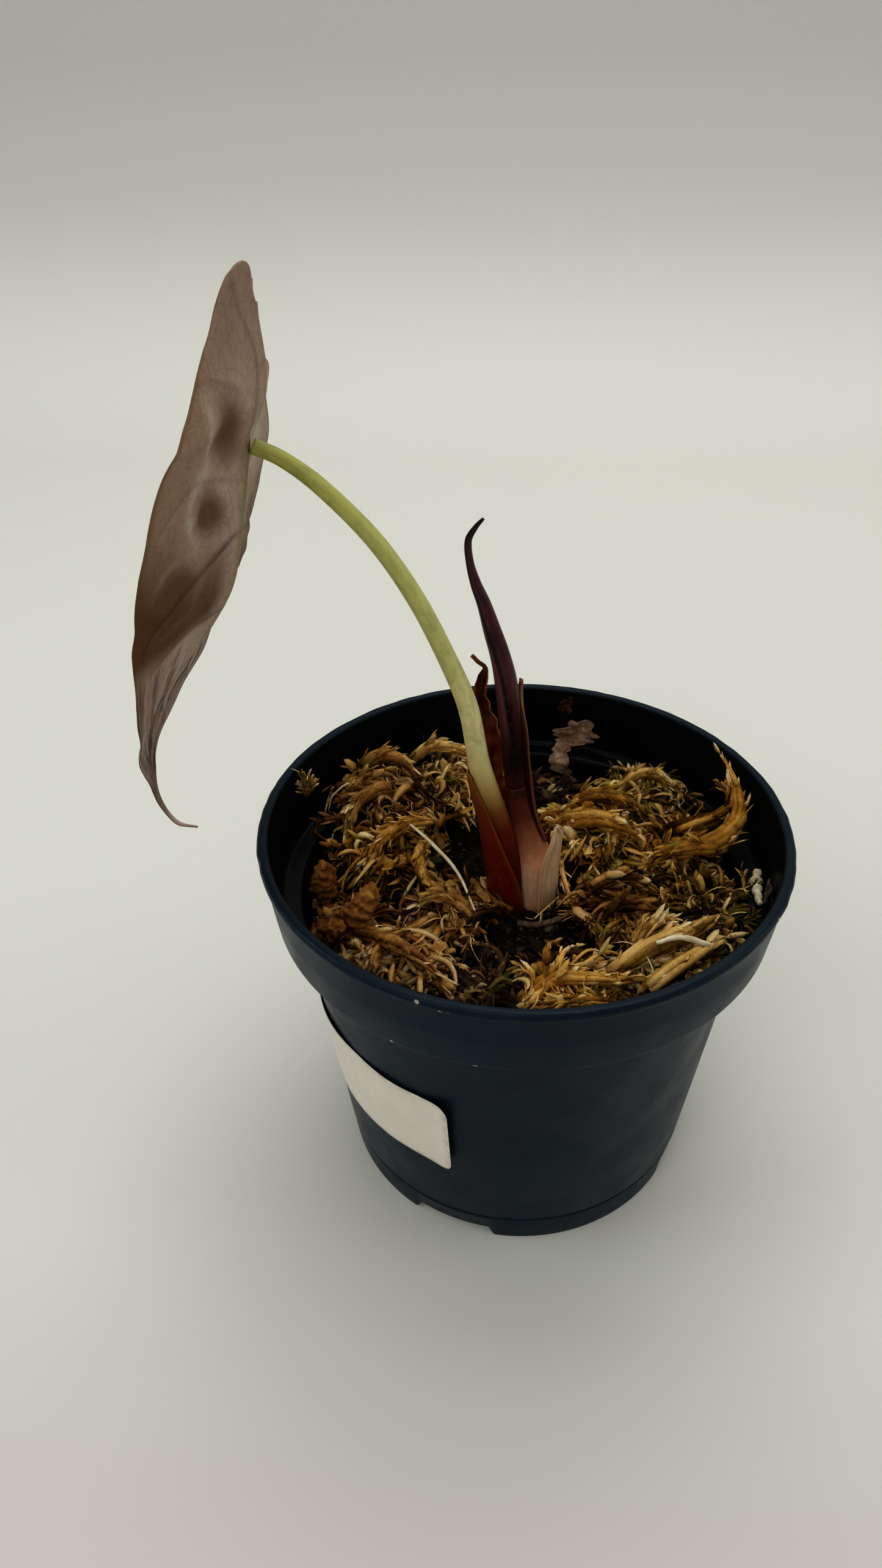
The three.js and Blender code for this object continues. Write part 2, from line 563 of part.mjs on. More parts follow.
// The midrib's point and the direction across it that leads away from the petiole's side
function midribAt(along) {
  const u = THREE.MathUtils.clamp((along + LOBE_LENGTH) / midribLength, 0, 1);
  const point = midribCurve.getPointAt(u);
  const tangent = midribCurve.getTangentAt(u);
  const outward = new THREE.Vector3(tangent.z, 0, -tangent.x);
  return { point, outward: outward.x > 0 ? outward.negate() : outward };
}

// A place on the blade: each half swings from the midrib by its own angle, and the hollows sink into it
function bladePoint(along, across) {
  const { point, outward } = midribAt(along);
  const near = across > 0;
  const swing = degrees(smoothLookup(near ? NEAR_SWING : FAR_SWING, along));
  const reach = Math.abs(across);
  const share = Math.min(1, reach / Math.max(smoothLookup(HALF_WIDTH, along), 1));
  const calm = along > CALM_TIP ? 0 : share ** 3;
  let relief = WAVE_HEIGHT * Math.sin((2 * Math.PI * along) / WAVE_LENGTH + (near ? 0 : 1.5)) * calm;
  for (const [a, b, halfLength, halfWidth, depth] of HOLLOWS) {
    relief += depth * Math.exp(-(((along - a) / halfLength) ** 2) - ((across - b) / halfWidth) ** 2);
  }
  return point.clone()
    .add(new THREE.Vector3(0, (near ? -1 : 1) * reach * Math.cos(swing), 0))
    .addScaledVector(outward, reach * Math.sin(swing) + relief);
}

// Rows run across the blade; the first rows bend down in the middle for the notch between the lobes
function bladeGrid() {
  const grid = [];
  for (let i = 0; i <= BLADE_ROWS; i += 1) {
    const along = -LOBE_LENGTH + midribLength * (i / BLADE_ROWS);
    const fade = Math.max(0, 1 - i / (0.3 * BLADE_ROWS)) ** 1.5;
    const width = smoothLookup(HALF_WIDTH, along);
    const line = [];
    for (let j = 0; j <= BLADE_COLUMNS; j += 1) {
      const share = (2 * j) / BLADE_COLUMNS - 1;
      const notch = NOTCH_DEPTH * Math.exp(-((share / 0.4) ** 2)) + (share < 0 ? -share * FAR_LOBE_SHORTER : 0);
      line.push(bladePoint(along + fade * notch, share * width));
    }
    grid.push(line);
  }
  return grid;
}

// The midrib stands out of the underside, less and less towards the tip
function bladeHalfThickness(i, j, side) {
  const along = -LOBE_LENGTH + midribLength * (i / BLADE_ROWS);
  const onMidrib = j === BLADE_COLUMNS / 2 && side === UNDERSIDE && along > RIDGE_START && along < RIDGE_END;
  return BLADE_THICKNESS / 2 + (onMidrib ? MIDRIB_RIDGE * (1 - along / RIDGE_END) : 0);
}

// A sheath: level arcs round a leaning line, each from its first angle to its last
function wrapGrid(stations, rows, columns, widen = 0) {
  const line = new THREE.CatmullRomCurve3(stations.map(([point]) => new THREE.Vector3(...point)));
  const valueAt = (index, place) => smoothLookup(stations.map((station, i) => [i, station[index]]), place);
  const grid = [];
  for (let i = 0; i <= rows; i += 1) {
    const place = (i / rows) * (stations.length - 1);
    const centre = line.getPoint(i / rows);
    const radius = valueAt(1, place);
    const first = valueAt(2, place) - widen;
    const last = valueAt(3, place) + widen;
    const arc = [];
    for (let j = 0; j <= columns; j += 1) {
      const turn = degrees(first + ((last - first) * j) / columns);
      arc.push(centre.clone().add(new THREE.Vector3(radius * Math.cos(turn), radius * Math.sin(turn), 0)));
    }
    grid.push(arc);
  }
  return grid;
}

// A crumpled strip that faces -Y: points up its middle and a half width at each
function stripGrid(stations, rows, columns, crumple, hollow) {
  const line = new THREE.CatmullRomCurve3(stations.map(([point]) => new THREE.Vector3(...point)));
  const widths = stations.map(([, width], i) => [i, width]);
  const grid = [];
  for (let i = 0; i <= rows; i += 1) {
    const place = (i / rows) * (stations.length - 1);
    const centre = line.getPoint(i / rows);
    const along = line.getTangent(i / rows);
    const across = new THREE.Vector3(along.z, 0, -along.x).normalize();
    const width = smoothLookup(widths, place);
    const arc = [];
    for (let j = 0; j <= columns; j += 1) {
      const share = (2 * j) / columns - 1;
      const fold = crumple * width * Math.sin(place * 2.3 + share * 2.1) - hollow * width * share * share;
      arc.push(centre.clone().addScaledVector(across, share * width).add(new THREE.Vector3(0, fold, 0)));
    }
    grid.push(arc);
  }
  return grid;
}

// A scrap of dry leaf stuck to the wall: height, angle, half width and distance from the pot's axis
function wallScrap(stations, widen = 0) {
  return stations.map(([z, angle, width, radius], i) => {
    const arc = [];
    for (let j = 0; j <= SCRAP_COLUMNS; j += 1) {
      const share = (2 * j) / SCRAP_COLUMNS - 1;
      const turn = degrees(angle) - (share * (width + widen)) / radius;
      const out = radius - 0.4 + 0.35 * Math.sin(i * 1.9 + share * 2.4);
      const lean = 0.5 * Math.sin(i + 3 * share);
      arc.push(new THREE.Vector3(out * Math.cos(turn), out * Math.sin(turn), z + lean));
    }
    return arc;
  });
}

// One strand of moss: it starts inside its cushion, rises, bends to one side and droops
function mossStrand(random, clump, index, grow) {
  const [cx, cy] = clump.centre;
  const [rx, ry] = clump.radii;
  const height = clump.top - PEAT_TOP_Z;
  const around = GOLDEN_TURN * index + clump.seed + 0.6 * random();
  const out = STRAND_SPREAD * Math.sqrt((index + 0.5) / clump.strands);
  const rootZ = PEAT_TOP_Z + CUSHION_HEIGHT * height * Math.sqrt(1 - out * out) - STRAND_ROOT;
  const length = clump.length * (0.7 + 0.6 * random());
  const heading = around + 1.6 * (random() - 0.5);
  const curl = 2.6 * (random() - 0.5);
  const rise = (1 - CUSHION_HEIGHT) * height * (0.5 + 0.8 * random()) + STRAND_ROOT + clump.rise;
  const thick = clump.thick * (0.8 + 0.4 * random());
  const stations = [];
  let x = cx + CUSHION_WIDTH * rx * out * Math.cos(around);
  let y = cy + CUSHION_WIDTH * ry * out * Math.sin(around);
  for (let k = 0; k < STRAND_POINTS; k += 1) {
    const t = k / (STRAND_POINTS - 1);
    const z = rootZ + rise * Math.sin(Math.PI * 0.8 * t) - clump.droop * t * t;
    stations.push([[x, y, z], thick * (1 - (1 - TIP_SHARE) * t)]);
    x += (length / (STRAND_POINTS - 1)) * Math.cos(heading + curl * t);
    y += (length / (STRAND_POINTS - 1)) * Math.sin(heading + curl * t);
  }
  return toSolid(stalk(stations, 3, STRAND_POINTS, grow));
}

// The cushion of a clump: a low dome, its surface pushed in and out in lumps
function mossCushion(clump, grow) {
  const [rx, ry] = clump.radii;
  const height = CUSHION_HEIGHT * (clump.top - PEAT_TOP_Z);
  const dome = new THREE.SphereGeometry(1, 9, 6);
  dome.rotateX(Math.PI / 2);
  const places = dome.attributes.position;
  for (let i = 0; i < places.count; i += 1) {
    const [x, y, z] = [places.getX(i), places.getY(i), places.getZ(i)];
    const lump = 1 + CUSHION_LUMPS * Math.sin(5 * x + 3 * z + clump.seed) * Math.cos(4 * y + clump.seed);
    places.setXYZ(
      i,
      clump.centre[0] + (rx * CUSHION_WIDTH + grow) * x * lump,
      clump.centre[1] + (ry * CUSHION_WIDTH + grow) * y * lump,
      PEAT_TOP_Z + (height + grow) * z * lump,
    );
  }
  return toSolid(dome);
}

function mossClump(clump, grow) {
  const random = randomFrom(MOSS_SEED + clump.seed);
  let solid = mossCushion(clump, grow);
  for (let i = 0; i < clump.strands; i += 1) solid = solid.add(mossStrand(random, clump, i, grow));
  for (const extra of clump.extras ?? []) solid = solid.add(toSolid(stalk(extra, 5, extra.length + 3, grow)));
  return solid;
}

// The space inside the pot above the peat, a little clear of the wall, the ledge and the peat's edge
function mossSpace() {
  const clear = 0.5;
  const inLip = RIM_RADIUS - LIP_WIDTH - clear - 0.3;
  const profile = [
    [0, PEAT_TOP_Z - 9], [40, PEAT_TOP_Z - 9], [46, PEAT_TOP_Z - 1],
    [insideRadius(PEAT_TOP_Z) - clear, PEAT_TOP_Z + 1], [insideRadius(LEDGE_Z - 1) - clear, LEDGE_Z - 1],
    [BODY_TOP_RADIUS - WALL, LEDGE_Z + 0.6],
    [COLLAR_BOTTOM_RADIUS - WALL - 1.1, LEDGE_Z + 1.5], [inLip, POT_HEIGHT - 1], [inLip, POT_HEIGHT + 6],
    [0, POT_HEIGHT + 6],
  ].map(([r, z]) => new THREE.Vector2(r, z));
  const lathe = new THREE.LatheGeometry(profile, POT_SIDES);
  lathe.rotateX(Math.PI / 2);
  return toSolid(lathe);
}

// A column round the foot of the plant that the moss leaves free
function plantSpace() {
  const column = new THREE.CylinderGeometry(PLANT_CLEAR, PLANT_CLEAR, 60, 20);
  column.rotateX(Math.PI / 2);
  column.translate(PLANT_MIDDLE[0], PLANT_MIDDLE[1], PEAT_TOP_Z + 10);
  return toSolid(column);
}

const stemFootCuts = [
  stalk(PETIOLE, PETIOLE_SIDES, PETIOLE_RINGS, GAP),
  blade(wrapGrid(RED_SHEATH, 9, 10, 5), SHEATH_THICKNESS + 2 * GAP),
];
let stemFoot = toSolid(stalk(STEM_FOOT, 12, 12));
for (const cut of stemFootCuts) stemFoot = stemFoot.subtract(toSolid(cut));
const rootStub = toSolid(stalk(ROOT_STUB, 6, 9)).subtract(toSolid(stalk(ROOT_BORE, 6, 3)));
const peat = peatWithHoles();

addPiece("pot", makePot(), 0x1b2026, 0.45);
addPiece("label", blade(labelGrid(), LABEL_THICKNESS), 0xd9d5cc, 0.6);
addPiece("peat", toGeometry(peat), 0x1a120b, 0.95);
addPiece("leaf_blade", blade(bladeGrid(), bladeHalfThickness), 0x6f5c4d, 0.5);
addPiece("petiole", stalk(PETIOLE, PETIOLE_SIDES, PETIOLE_RINGS), 0xa9a96a, 0.45);
addPiece("stem_foot", toGeometry(stemFoot), 0xb08a78, 0.5);
addPiece("new_leaf", stalk(NEW_LEAF, 8, 18), 0x2a0d12, 0.3);
addPiece("red_sheath", blade(wrapGrid(RED_SHEATH, 9, 10), SHEATH_THICKNESS), 0x4a1508, 0.5);
addPiece("scale_leaf", blade(wrapGrid(SCALE_LEAF, 8, 7), SHEATH_THICKNESS), 0xb48f80, 0.4);
addPiece("bud_sheath", blade(wrapGrid(BUD_SHEATH, 9, 7), SHEATH_THICKNESS), 0x6b3c40, 0.5);
addPiece("dry_sheath", blade(stripGrid(DRY_SHEATH, 20, 4, 0.25, 0.3), SHEATH_THICKNESS), 0x5a2410, 0.6);
addPiece("root_stub", toGeometry(rootStub), 0x5d4a38, 0.8);

// What the moss is cut clear of: the root stub, the scraps, the sprig and the straws
let taken = toSolid(stalk(ROOT_STUB, 6, 9, GAP));
for (const [name, { colour, stations }] of Object.entries(SCRAPS)) {
  addPiece(name, blade(wallScrap(stations), SCRAP_THICKNESS), colour, 0.7);
  taken = taken.add(toSolid(blade(wallScrap(stations, GAP), SCRAP_THICKNESS + 2 * GAP)));
}
const sprig = WALL_SPRIG.map((leaflet) => toSolid(stalk(leaflet, 4, leaflet.length)));
addPiece("wall_sprig", toGeometry(sprig.reduce((all, next) => all.add(next))), 0x6f6a50, 0.8);
for (const leaflet of WALL_SPRIG) taken = taken.add(toSolid(stalk(leaflet, 4, leaflet.length, GAP)));
for (const [name, stations] of Object.entries(STRAWS)) {
  addPiece(name, stalk(stations, 6, 8), 0xc8bda6, 0.6);
  taken = taken.add(toSolid(stalk(stations, 6, 8, GAP)));
}

// Moss clumps: each is also cut clear of the peat, the plant and the clumps before it
const widerPeat = peat.scale([1.01, 1.01, 1]);
const space = mossSpace().subtract(plantSpace()).subtract(widerPeat.translate([0, 0, GAP])).subtract(widerPeat);
for (const clump of MOSS) {
  addPiece(clump.name, toGeometry(mossClump(clump, 0).intersect(space).subtract(taken)), clump.colour, 0.85);
  taken = taken.add(mossClump(clump, GAP));
}

export default alocasia;
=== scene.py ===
# %% [markdown]
# # A potted alocasia
# A young alocasia stands in a round dark nursery pot. One leaf hangs from a long arching petiole with its
# underside towards us, a second leaf is still rolled up, and old moss covers the peat round the foot. The
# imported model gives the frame: every solid keeps its place, and each piece made here stands for one of them.

import bpy
import numpy as np
from mathutils import Matrix, Vector


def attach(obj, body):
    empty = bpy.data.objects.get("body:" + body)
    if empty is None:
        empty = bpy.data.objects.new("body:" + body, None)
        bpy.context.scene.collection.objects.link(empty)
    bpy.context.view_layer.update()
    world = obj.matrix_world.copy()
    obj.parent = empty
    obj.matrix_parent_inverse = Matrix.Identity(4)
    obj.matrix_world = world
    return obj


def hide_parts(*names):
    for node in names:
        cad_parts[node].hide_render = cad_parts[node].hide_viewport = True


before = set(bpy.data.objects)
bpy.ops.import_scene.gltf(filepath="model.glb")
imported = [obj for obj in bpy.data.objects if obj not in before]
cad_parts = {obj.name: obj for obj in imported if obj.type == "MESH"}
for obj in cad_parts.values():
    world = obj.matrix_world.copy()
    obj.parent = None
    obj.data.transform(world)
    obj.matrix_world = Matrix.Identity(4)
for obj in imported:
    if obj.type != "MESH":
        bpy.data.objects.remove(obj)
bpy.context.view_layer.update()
MM = 0.001

# %% [markdown]
# ## Camera
# The camera looks down on the pot from in front, a quarter of a metre above the table. A wide lens stands
# close by, which is why the pot narrows so much towards its foot. The camera's three axes are worked out from
# the direction of view: right is square to the view and to the vertical, up is square to both, and a small
# roll turns those two about the view.

# %% Camera
CAMERA_PLACE = np.array([0, -0.19824, 0.24721])
VIEW_TURN = -0.093
VIEW_DIP = 0.6223
VIEW_ROLL = -0.0197
SENSOR_HEIGHT = 36
LENS = 25.224

view = np.array([np.sin(VIEW_TURN) * np.cos(VIEW_DIP), np.cos(VIEW_TURN) * np.cos(VIEW_DIP),
                 -np.sin(VIEW_DIP)])
level_right = np.cross(view, [0, 0, 1])
level_right /= np.linalg.norm(level_right)
level_up = np.cross(level_right, view)
camera_right = level_right * np.cos(VIEW_ROLL) + level_up * np.sin(VIEW_ROLL)
camera_up = -level_right * np.sin(VIEW_ROLL) + level_up * np.cos(VIEW_ROLL)

camera_data = bpy.data.cameras.new("camera")
camera_data.sensor_fit = "VERTICAL"
camera_data.sensor_height = SENSOR_HEIGHT
camera_data.lens = LENS
camera = bpy.data.objects.new("camera", camera_data)
bpy.context.collection.objects.link(camera)
axes = Matrix([camera_right, camera_up, -view]).transposed().to_4x4()
camera.matrix_world = Matrix.Translation(Vector(CAMERA_PLACE)) @ axes
bpy.context.scene.camera = camera
bpy.context.scene.view_settings.view_transform = "Standard"
bpy.context.scene.view_settings.look = "High Contrast"

# %% [markdown]
# ## Wiring a material
# A procedural material is a small network of nodes. Setting each socket by hand takes many lines, so these
# helpers add one node and fill its sockets at once: a socket of another node is linked, and a plain number
# or colour is set on the node itself. A socket knows the tree it is in, so most helpers need no tree.

# %% Node helpers
def tree_of(*values):
    """The node tree that the sockets among these values belong to."""
    return next(value.id_data for value in values if isinstance(value, bpy.types.NodeSocket))


def add_node(tree, kind, sockets=None, **settings):
    """Adds one node. Sockets are named, or numbered where two share a name."""
    node = tree.nodes.new("ShaderNode" + kind)
    for key, value in settings.items():
        setattr(node, key, value)
    for key, value in (sockets or {}).items():
        if isinstance(value, bpy.types.NodeSocket):
            tree.links.new(value, node.inputs[key])
        else:
            is_colour = isinstance(value, tuple) and node.inputs[key].type == "RGBA"
            node.inputs[key].default_value = (*value, 1) if is_colour else value
    return node


def join(value, socket):
    """Links one socket to another."""
    tree_of(socket).links.new(value, socket)


def calc(operation, first, second, clamp=False):
    """One sum on two numbers."""
    sockets = {0: first, 1: second}
    return add_node(tree_of(first, second), "Math", sockets, operation=operation, use_clamp=clamp).outputs[0]


def times(first, second):
    """The product of two numbers."""
    return calc("MULTIPLY", first, second)


def plus(first, second):
    """The sum of two numbers."""
    return calc("ADD", first, second)


def remap(value, low, high, to_low=0.0, to_high=1.0, way="SMOOTHSTEP"):
    """Carries the range low to high over to the range to_low to to_high, with its ends held."""
    sockets = {"Value": value, "From Min": low, "From Max": high, "To Min": to_low, "To Max": to_high}
    return add_node(tree_of(value), "MapRange", sockets, interpolation_type=way).outputs[0]


def mix(share, first, second):
    """Mixes two colours; a plain colour has three parts."""
    return add_node(tree_of(share), "Mix", {0: share, 6: first, 7: second}, data_type="RGBA").outputs[2]


def tint(colour, mask, strength, over):
    """Lays a second colour over the first where the mask is high, as far as its strength."""
    return mix(times(mask, strength), colour, over)


def tint_by(colour, rows):
    """Lays colours over the first, one by one: rows of a number kept on the mesh, a strength and a colour."""
    for name, strength, over in rows:
        colour = tint(colour, attribute(tree_of(colour), name), strength, over)
    return colour


def ramp(value, stops):
    """A scale of colours: stops are pairs of place and colour."""
    node = add_node(tree_of(value), "ValToRGB", {"Fac": value})
    elements = node.color_ramp.elements
    while len(elements) < len(stops):
        elements.new(0.5)
    for element, (place, colour) in zip(elements, stops):
        element.position = place
        element.color = (*colour, 1)
    return node.outputs[0]


# %% [markdown]
# The next helpers bring numbers into a material: a number kept on the mesh, a place on the piece, a height,
# and the grain that noise makes. The last ones build whole materials and groups.

# %% Numbers, places and grain in a material
def attribute(tree, name):
    """A number that is kept on the mesh's points."""
    return add_node(tree, "Attribute", attribute_name=name).outputs["Fac"]


def millimetres(tree):
    """The object's own coordinates, in millimetres."""
    place = add_node(tree, "TexCoord").outputs["Object"]
    return add_node(tree, "VectorMath", {0: place, "Scale": 1 / MM}, operation="SCALE").outputs[0]


def parts_of(place):
    """The three coordinates of a place."""
    return add_node(tree_of(place), "SeparateXYZ", {0: place}).outputs


def colour_by_height(tree, stops):
    """A scale of colours up the piece: stops are pairs of a height in millimetres and a colour."""
    low, high = stops[0][0], stops[-1][0]
    share = remap(parts_of(millimetres(tree))[2], low, high, way="LINEAR")
    return ramp(share, [((z - low) / (high - low), colour) for z, colour in stops])


def surface(tree, scale):
    """The piece's own UV map, stretched."""
    place = add_node(tree, "UVMap").outputs[0]
    return add_node(tree, "Mapping", {"Vector": place, "Scale": scale}).outputs[0]


def noise(place, scale, detail=3.0, roughness=0.5, distortion=0.0):
    """Cloudy noise; scale is in lumps per unit."""
    sockets = {"Vector": place, "Scale": scale, "Detail": detail, "Roughness": roughness,
               "Distortion": distortion}
    return add_node(tree_of(place), "TexNoise", sockets).outputs[0]


def lay(shader, colour, grain, depth, strength=1.0):
    """Sets the shader's colour, and its normal from a grain with a depth in millimetres."""
    join(colour, shader["Base Color"])
    sockets = {"Height": grain, "Distance": depth * MM, "Strength": strength}
    join(add_node(tree_of(grain), "Bump", sockets).outputs[0], shader["Normal"])


def new_group(name, inputs, outputs):
    """A node group with named sockets: None for a vector, a number for a float and three numbers for a
    colour."""
    tree = bpy.data.node_groups.new(name, "ShaderNodeTree")
    for socket, value in inputs.items():
        kind = "Vector" if value is None else "Float" if isinstance(value, float) else "Color"
        made = tree.interface.new_socket(socket, in_out="INPUT", socket_type="NodeSocket" + kind)
        if value is not None:
            made.default_value = value if kind == "Float" else (*value, 1)
    for socket, kind in outputs.items():
        tree.interface.new_socket(socket, in_out="OUTPUT", socket_type="NodeSocket" + kind)
    return tree, tree.nodes.new("NodeGroupInput").outputs, tree.nodes.new("NodeGroupOutput").inputs


def new_material(name, glow=None, **sockets):
    """A material with a Principled shader; words are its socket names with underscores. The glow is how far
    red, green and blue light spread inside the tissue, beside each other."""
    material = bpy.data.materials.new(name)
    material.use_nodes = True
    tree = material.node_tree
    shader = tree.nodes["Principled BSDF"].inputs
    for key, value in sockets.items():
        shader[key.replace("_", " ")].default_value = value
    if glow:
        shader["Subsurface Radius"].default_value = glow
    return material, tree, shader


# %% [markdown]
# ## Effects that several finishes share
# Two effects come back all over this plant. Dead and living tissue alike is clouded: its colour drifts
# between two tones, with fine grain on top. And leaf, petiole and sheath have fibres that run along them,
# which is cloudy noise squeezed thin across the piece. Each is a node group, built once and used with its own
# values.

# %% Shared node groups
tissue, given, made = new_group(
    "tissue", {"Place": None, "Size": 6.0, "Contrast": 0.6, "Light": (0.5, 0.5, 0.5),
               "Dark": (0.2, 0.2, 0.2)},
    {"Colour": "Color", "Height": "Float"})
broad = noise(given["Place"], given["Size"], 4.0, 0.6)
fine = noise(given["Place"], times(given["Size"], 6.0), 3.0, 0.6)
both = plus(times(broad, 0.75), times(fine, 0.25))
spread = times(calc("SUBTRACT", both, 0.5), times(given["Contrast"], 5.0))
share = calc("ADD", spread, 0.5, clamp=True)
join(mix(share, given["Dark"], given["Light"]), made["Colour"])
join(both, made["Height"])

fibres, given, made = new_group("fibres", {"Place": None}, {"Mask": "Float", "Height": "Float"})
lines = noise(given["Place"], 1.0, 3.0, 0.6, 0.3)
join(remap(lines, 0.42, 0.66), made["Mask"])
join(lines, made["Height"])


def clouded(place, size, contrast, light, dark):
    """The tissue group in a material: clouds of a size between two tones."""
    sockets = {"Place": place, "Size": size, "Contrast": contrast, "Light": light, "Dark": dark}
    return add_node(tree_of(place), "Group", sockets, node_tree=tissue).outputs


def fibred(tree, across, along):
    """The fibres group on the piece's own UV map: so many lines across it, and so many lumps a millimetre."""
    place = surface(tree, (across, along, 1))
    return add_node(tree, "Group", {"Place": place}, node_tree=fibres).outputs


print("two shared groups of nodes are ready")

# %% [markdown]
# ## Table, backdrop and light
# The plant stands on a pale sweep: a floor that bends up into a wall behind, so that no edge shows. The main
# light hangs behind the pot and shines nearly straight down. It reaches the floor fully and the wall only at
# a low angle, so the wall is darker, and the pot's soft shadow falls towards us. The sweep's colour adds
# painted shade too: darker on the floor in front of the pot, and on the wall higher up. Weak windows stand
# at the sides and in front.

# %% Stage and lights
SWEEP_BACK = 0.72
SWEEP_BEND = 0.22
SWEEP_HALF_WIDTH = 2.2
SWEEP_FRONT = -1.6
SWEEP_TOP = 1.5
bend = np.linspace(0, np.pi / 2, 24)
sweep_y = np.concatenate([[SWEEP_FRONT], SWEEP_BACK - SWEEP_BEND + SWEEP_BEND * np.sin(bend), [SWEEP_BACK]])
sweep_z = np.concatenate([[0], SWEEP_BEND * (1 - np.cos(bend)), [SWEEP_TOP]])
sweep_points = [(x, y, z) for y, z in zip(sweep_y, sweep_z) for x in (-SWEEP_HALF_WIDTH, SWEEP_HALF_WIDTH)]
sweep_faces = [(2 * i, 2 * i + 1, 2 * i + 3, 2 * i + 2) for i in range(len(sweep_y) - 1)]
sweep_mesh = bpy.data.meshes.new("sweep")
sweep_mesh.from_pydata(sweep_points, [], sweep_faces)
sweep_mesh.shade_smooth()
sweep = bpy.data.objects.new("sweep", sweep_mesh)
bpy.context.collection.objects.link(sweep)
paper_sweep, tree, shader = new_material("paper_sweep", Roughness=0.85)
place = add_node(tree, "TexCoord").outputs["Object"]
colour = mix(noise(place, 3.0, 3.0), (0.765, 0.768, 0.722), (0.79, 0.793, 0.746))
parts = parts_of(place)
height = parts[2]
# Painted shade: a darker floor in front of the pot, and a darker wall higher up
colour = mix(remap(parts[1], -0.045, -0.115), colour, (0.705, 0.680, 0.640))
colour = mix(remap(height, 0.01, 0.15), colour, (0.60, 0.60, 0.565))
join(mix(remap(height, 0.1, 0.3), colour, (0.57, 0.57, 0.54)), shader["Base Color"])
sweep_mesh.materials.append(paper_sweep)


def soft_light(name, place, target, size, power, colour):
    """A square area light that faces its target."""
    data = bpy.data.lights.new(name, "AREA")
    data.shape = "SQUARE"
    data.size = size
    data.energy = power
    data.color = colour
    lamp = bpy.data.objects.new(name, data)
    lamp.location = place
    lamp.rotation_euler = (Vector(target) - Vector(place)).to_track_quat("-Z", "Y").to_euler()
    bpy.context.collection.objects.link(lamp)


soft_light("overhead", (0.05, 0.46, 1.1), (0.05, 0.36, 0), 0.9, 4.1, (1, 0.995, 0.965))
soft_light("right_window", (1.0, 0.1, 0.5), (0, 0, 0.08), 0.6, 1.0, (1, 1, 0.97))
soft_light("left_window", (-1.0, -0.2, 0.6), (0, 0, 0.1), 0.6, 1.45, (0.97, 0.99, 1))
soft_light("front_window", (-0.3, -0.8, 0.85), (0, 0, 0.1), 0.6, 1.55, (1, 0.985, 0.95))

world = bpy.data.worlds.new("room")
bpy.context.scene.world = world
world.use_nodes = True
world.node_tree.nodes["Background"].inputs[0].default_value = (0.86, 0.85, 0.82, 1)
world.node_tree.nodes["Background"].inputs[1].default_value = 0.35
print("camera, sweep and lights are in place")

# %% [markdown]
# ## Surfaces worked out with numpy
# Every new piece is a grid of points that follows a formula, or a ring carried along a path. These helpers
# hold the parts that come back: a smooth curve through a few stations, points at even steps along a path, the
# faces between the points of a grid, and the mesh object itself.

# %% Curves
def smooth(stations, places):
    """Cubic curve through (place, value) stations; its slope at a station is the chord's between its
    neighbours."""
    at = np.array([row[0] for row in stations], float)
    values = np.array([row[1] for row in stations], float)
    slopes = np.empty_like(values)
    spans = np.diff(at)
    if values.ndim > 1:
        spans = spans[:, None]
    chords = np.diff(values, axis=0) / spans
    slopes[0], slopes[-1] = chords[0], chords[-1]
    slopes[1:-1] = (values[2:] - values[:-2]) / (spans[1:] + spans[:-1])
    places = np.clip(np.asarray(places, float), at[0], at[-1])
    i = np.clip(np.searchsorted(at, places, side="right") - 1, 0, len(at) - 2)
    t = (places - at[i]) / np.diff(at)[i]
    span = spans[i]
    if values.ndim > 1:
        t = t[..., None]
    return (values[i] * (2 * t**3 - 3 * t**2 + 1) + values[i + 1] * (3 * t**2 - 2 * t**3)
            + span * slopes[i] * (t**3 - 2 * t**2 + t) + span * slopes[i + 1] * (t**3 - t**2))


def step_smoothly(value, low, high):
    """0 below low, 1 above high, and 3 t^2 - 2 t^3 between them."""
    t = np.clip((value - low) / (high - low), 0, 1)
    return t * t * (3 - 2 * t)


def bell(value, width):
    """1 in the middle, and less and less away from it: exp(-(value / width)^2)."""
    return np.exp(-((value / width) ** 2))


def grid_of(rows, columns):
    """Every row's number with every column's number, as two grids."""
    return np.meshgrid(rows, columns, indexing="ij")


def round_turns(count):
    """Turns at even steps once round."""
    return np.linspace(0, 2 * np.pi, count, False)


def dense_path(points, count=2000):
    """Many points on the smooth path through the given points, and the length walked at each."""
    points = np.array(points, float)
    steps = np.sqrt(np.linalg.norm(np.diff(points, axis=0), axis=1))
    at = np.concatenate([[0], np.cumsum(steps)])
    path = smooth(list(zip(at, points)), np.linspace(0, at[-1], count))
    walked = np.concatenate([[0], np.cumsum(np.linalg.norm(np.diff(path, axis=0), axis=1))])
    return path, walked


def at_length(path, walked, lengths):
    """The points of a dense path at the given lengths."""
    return np.stack([np.interp(lengths, walked, path[:, k]) for k in range(3)], -1)


def polar(radius, turn, height):
    """Points at a radius and a turn round the pot's axis: radius * (cos, sin), and a height."""
    radius, turn, height = np.broadcast_arrays(radius, turn, height)
    return np.stack([radius * np.cos(turn), radius * np.sin(turn), height], -1)


def on_plane(x, y=0):
    """Points with this x and y, and no height."""
    x, y = np.broadcast_arrays(x, y)
    return np.stack([x, y, 0 * x], -1)


def turned(points, angle, first, second):
    """Points turned by an angle in the plane of two of their coordinates."""
    a, b = points[..., first].copy(), points[..., second].copy()
    points = points.copy()
    points[..., first] = a * np.cos(angle) - b * np.sin(angle)
    points[..., second] = a * np.sin(angle) + b * np.cos(angle)
    return points


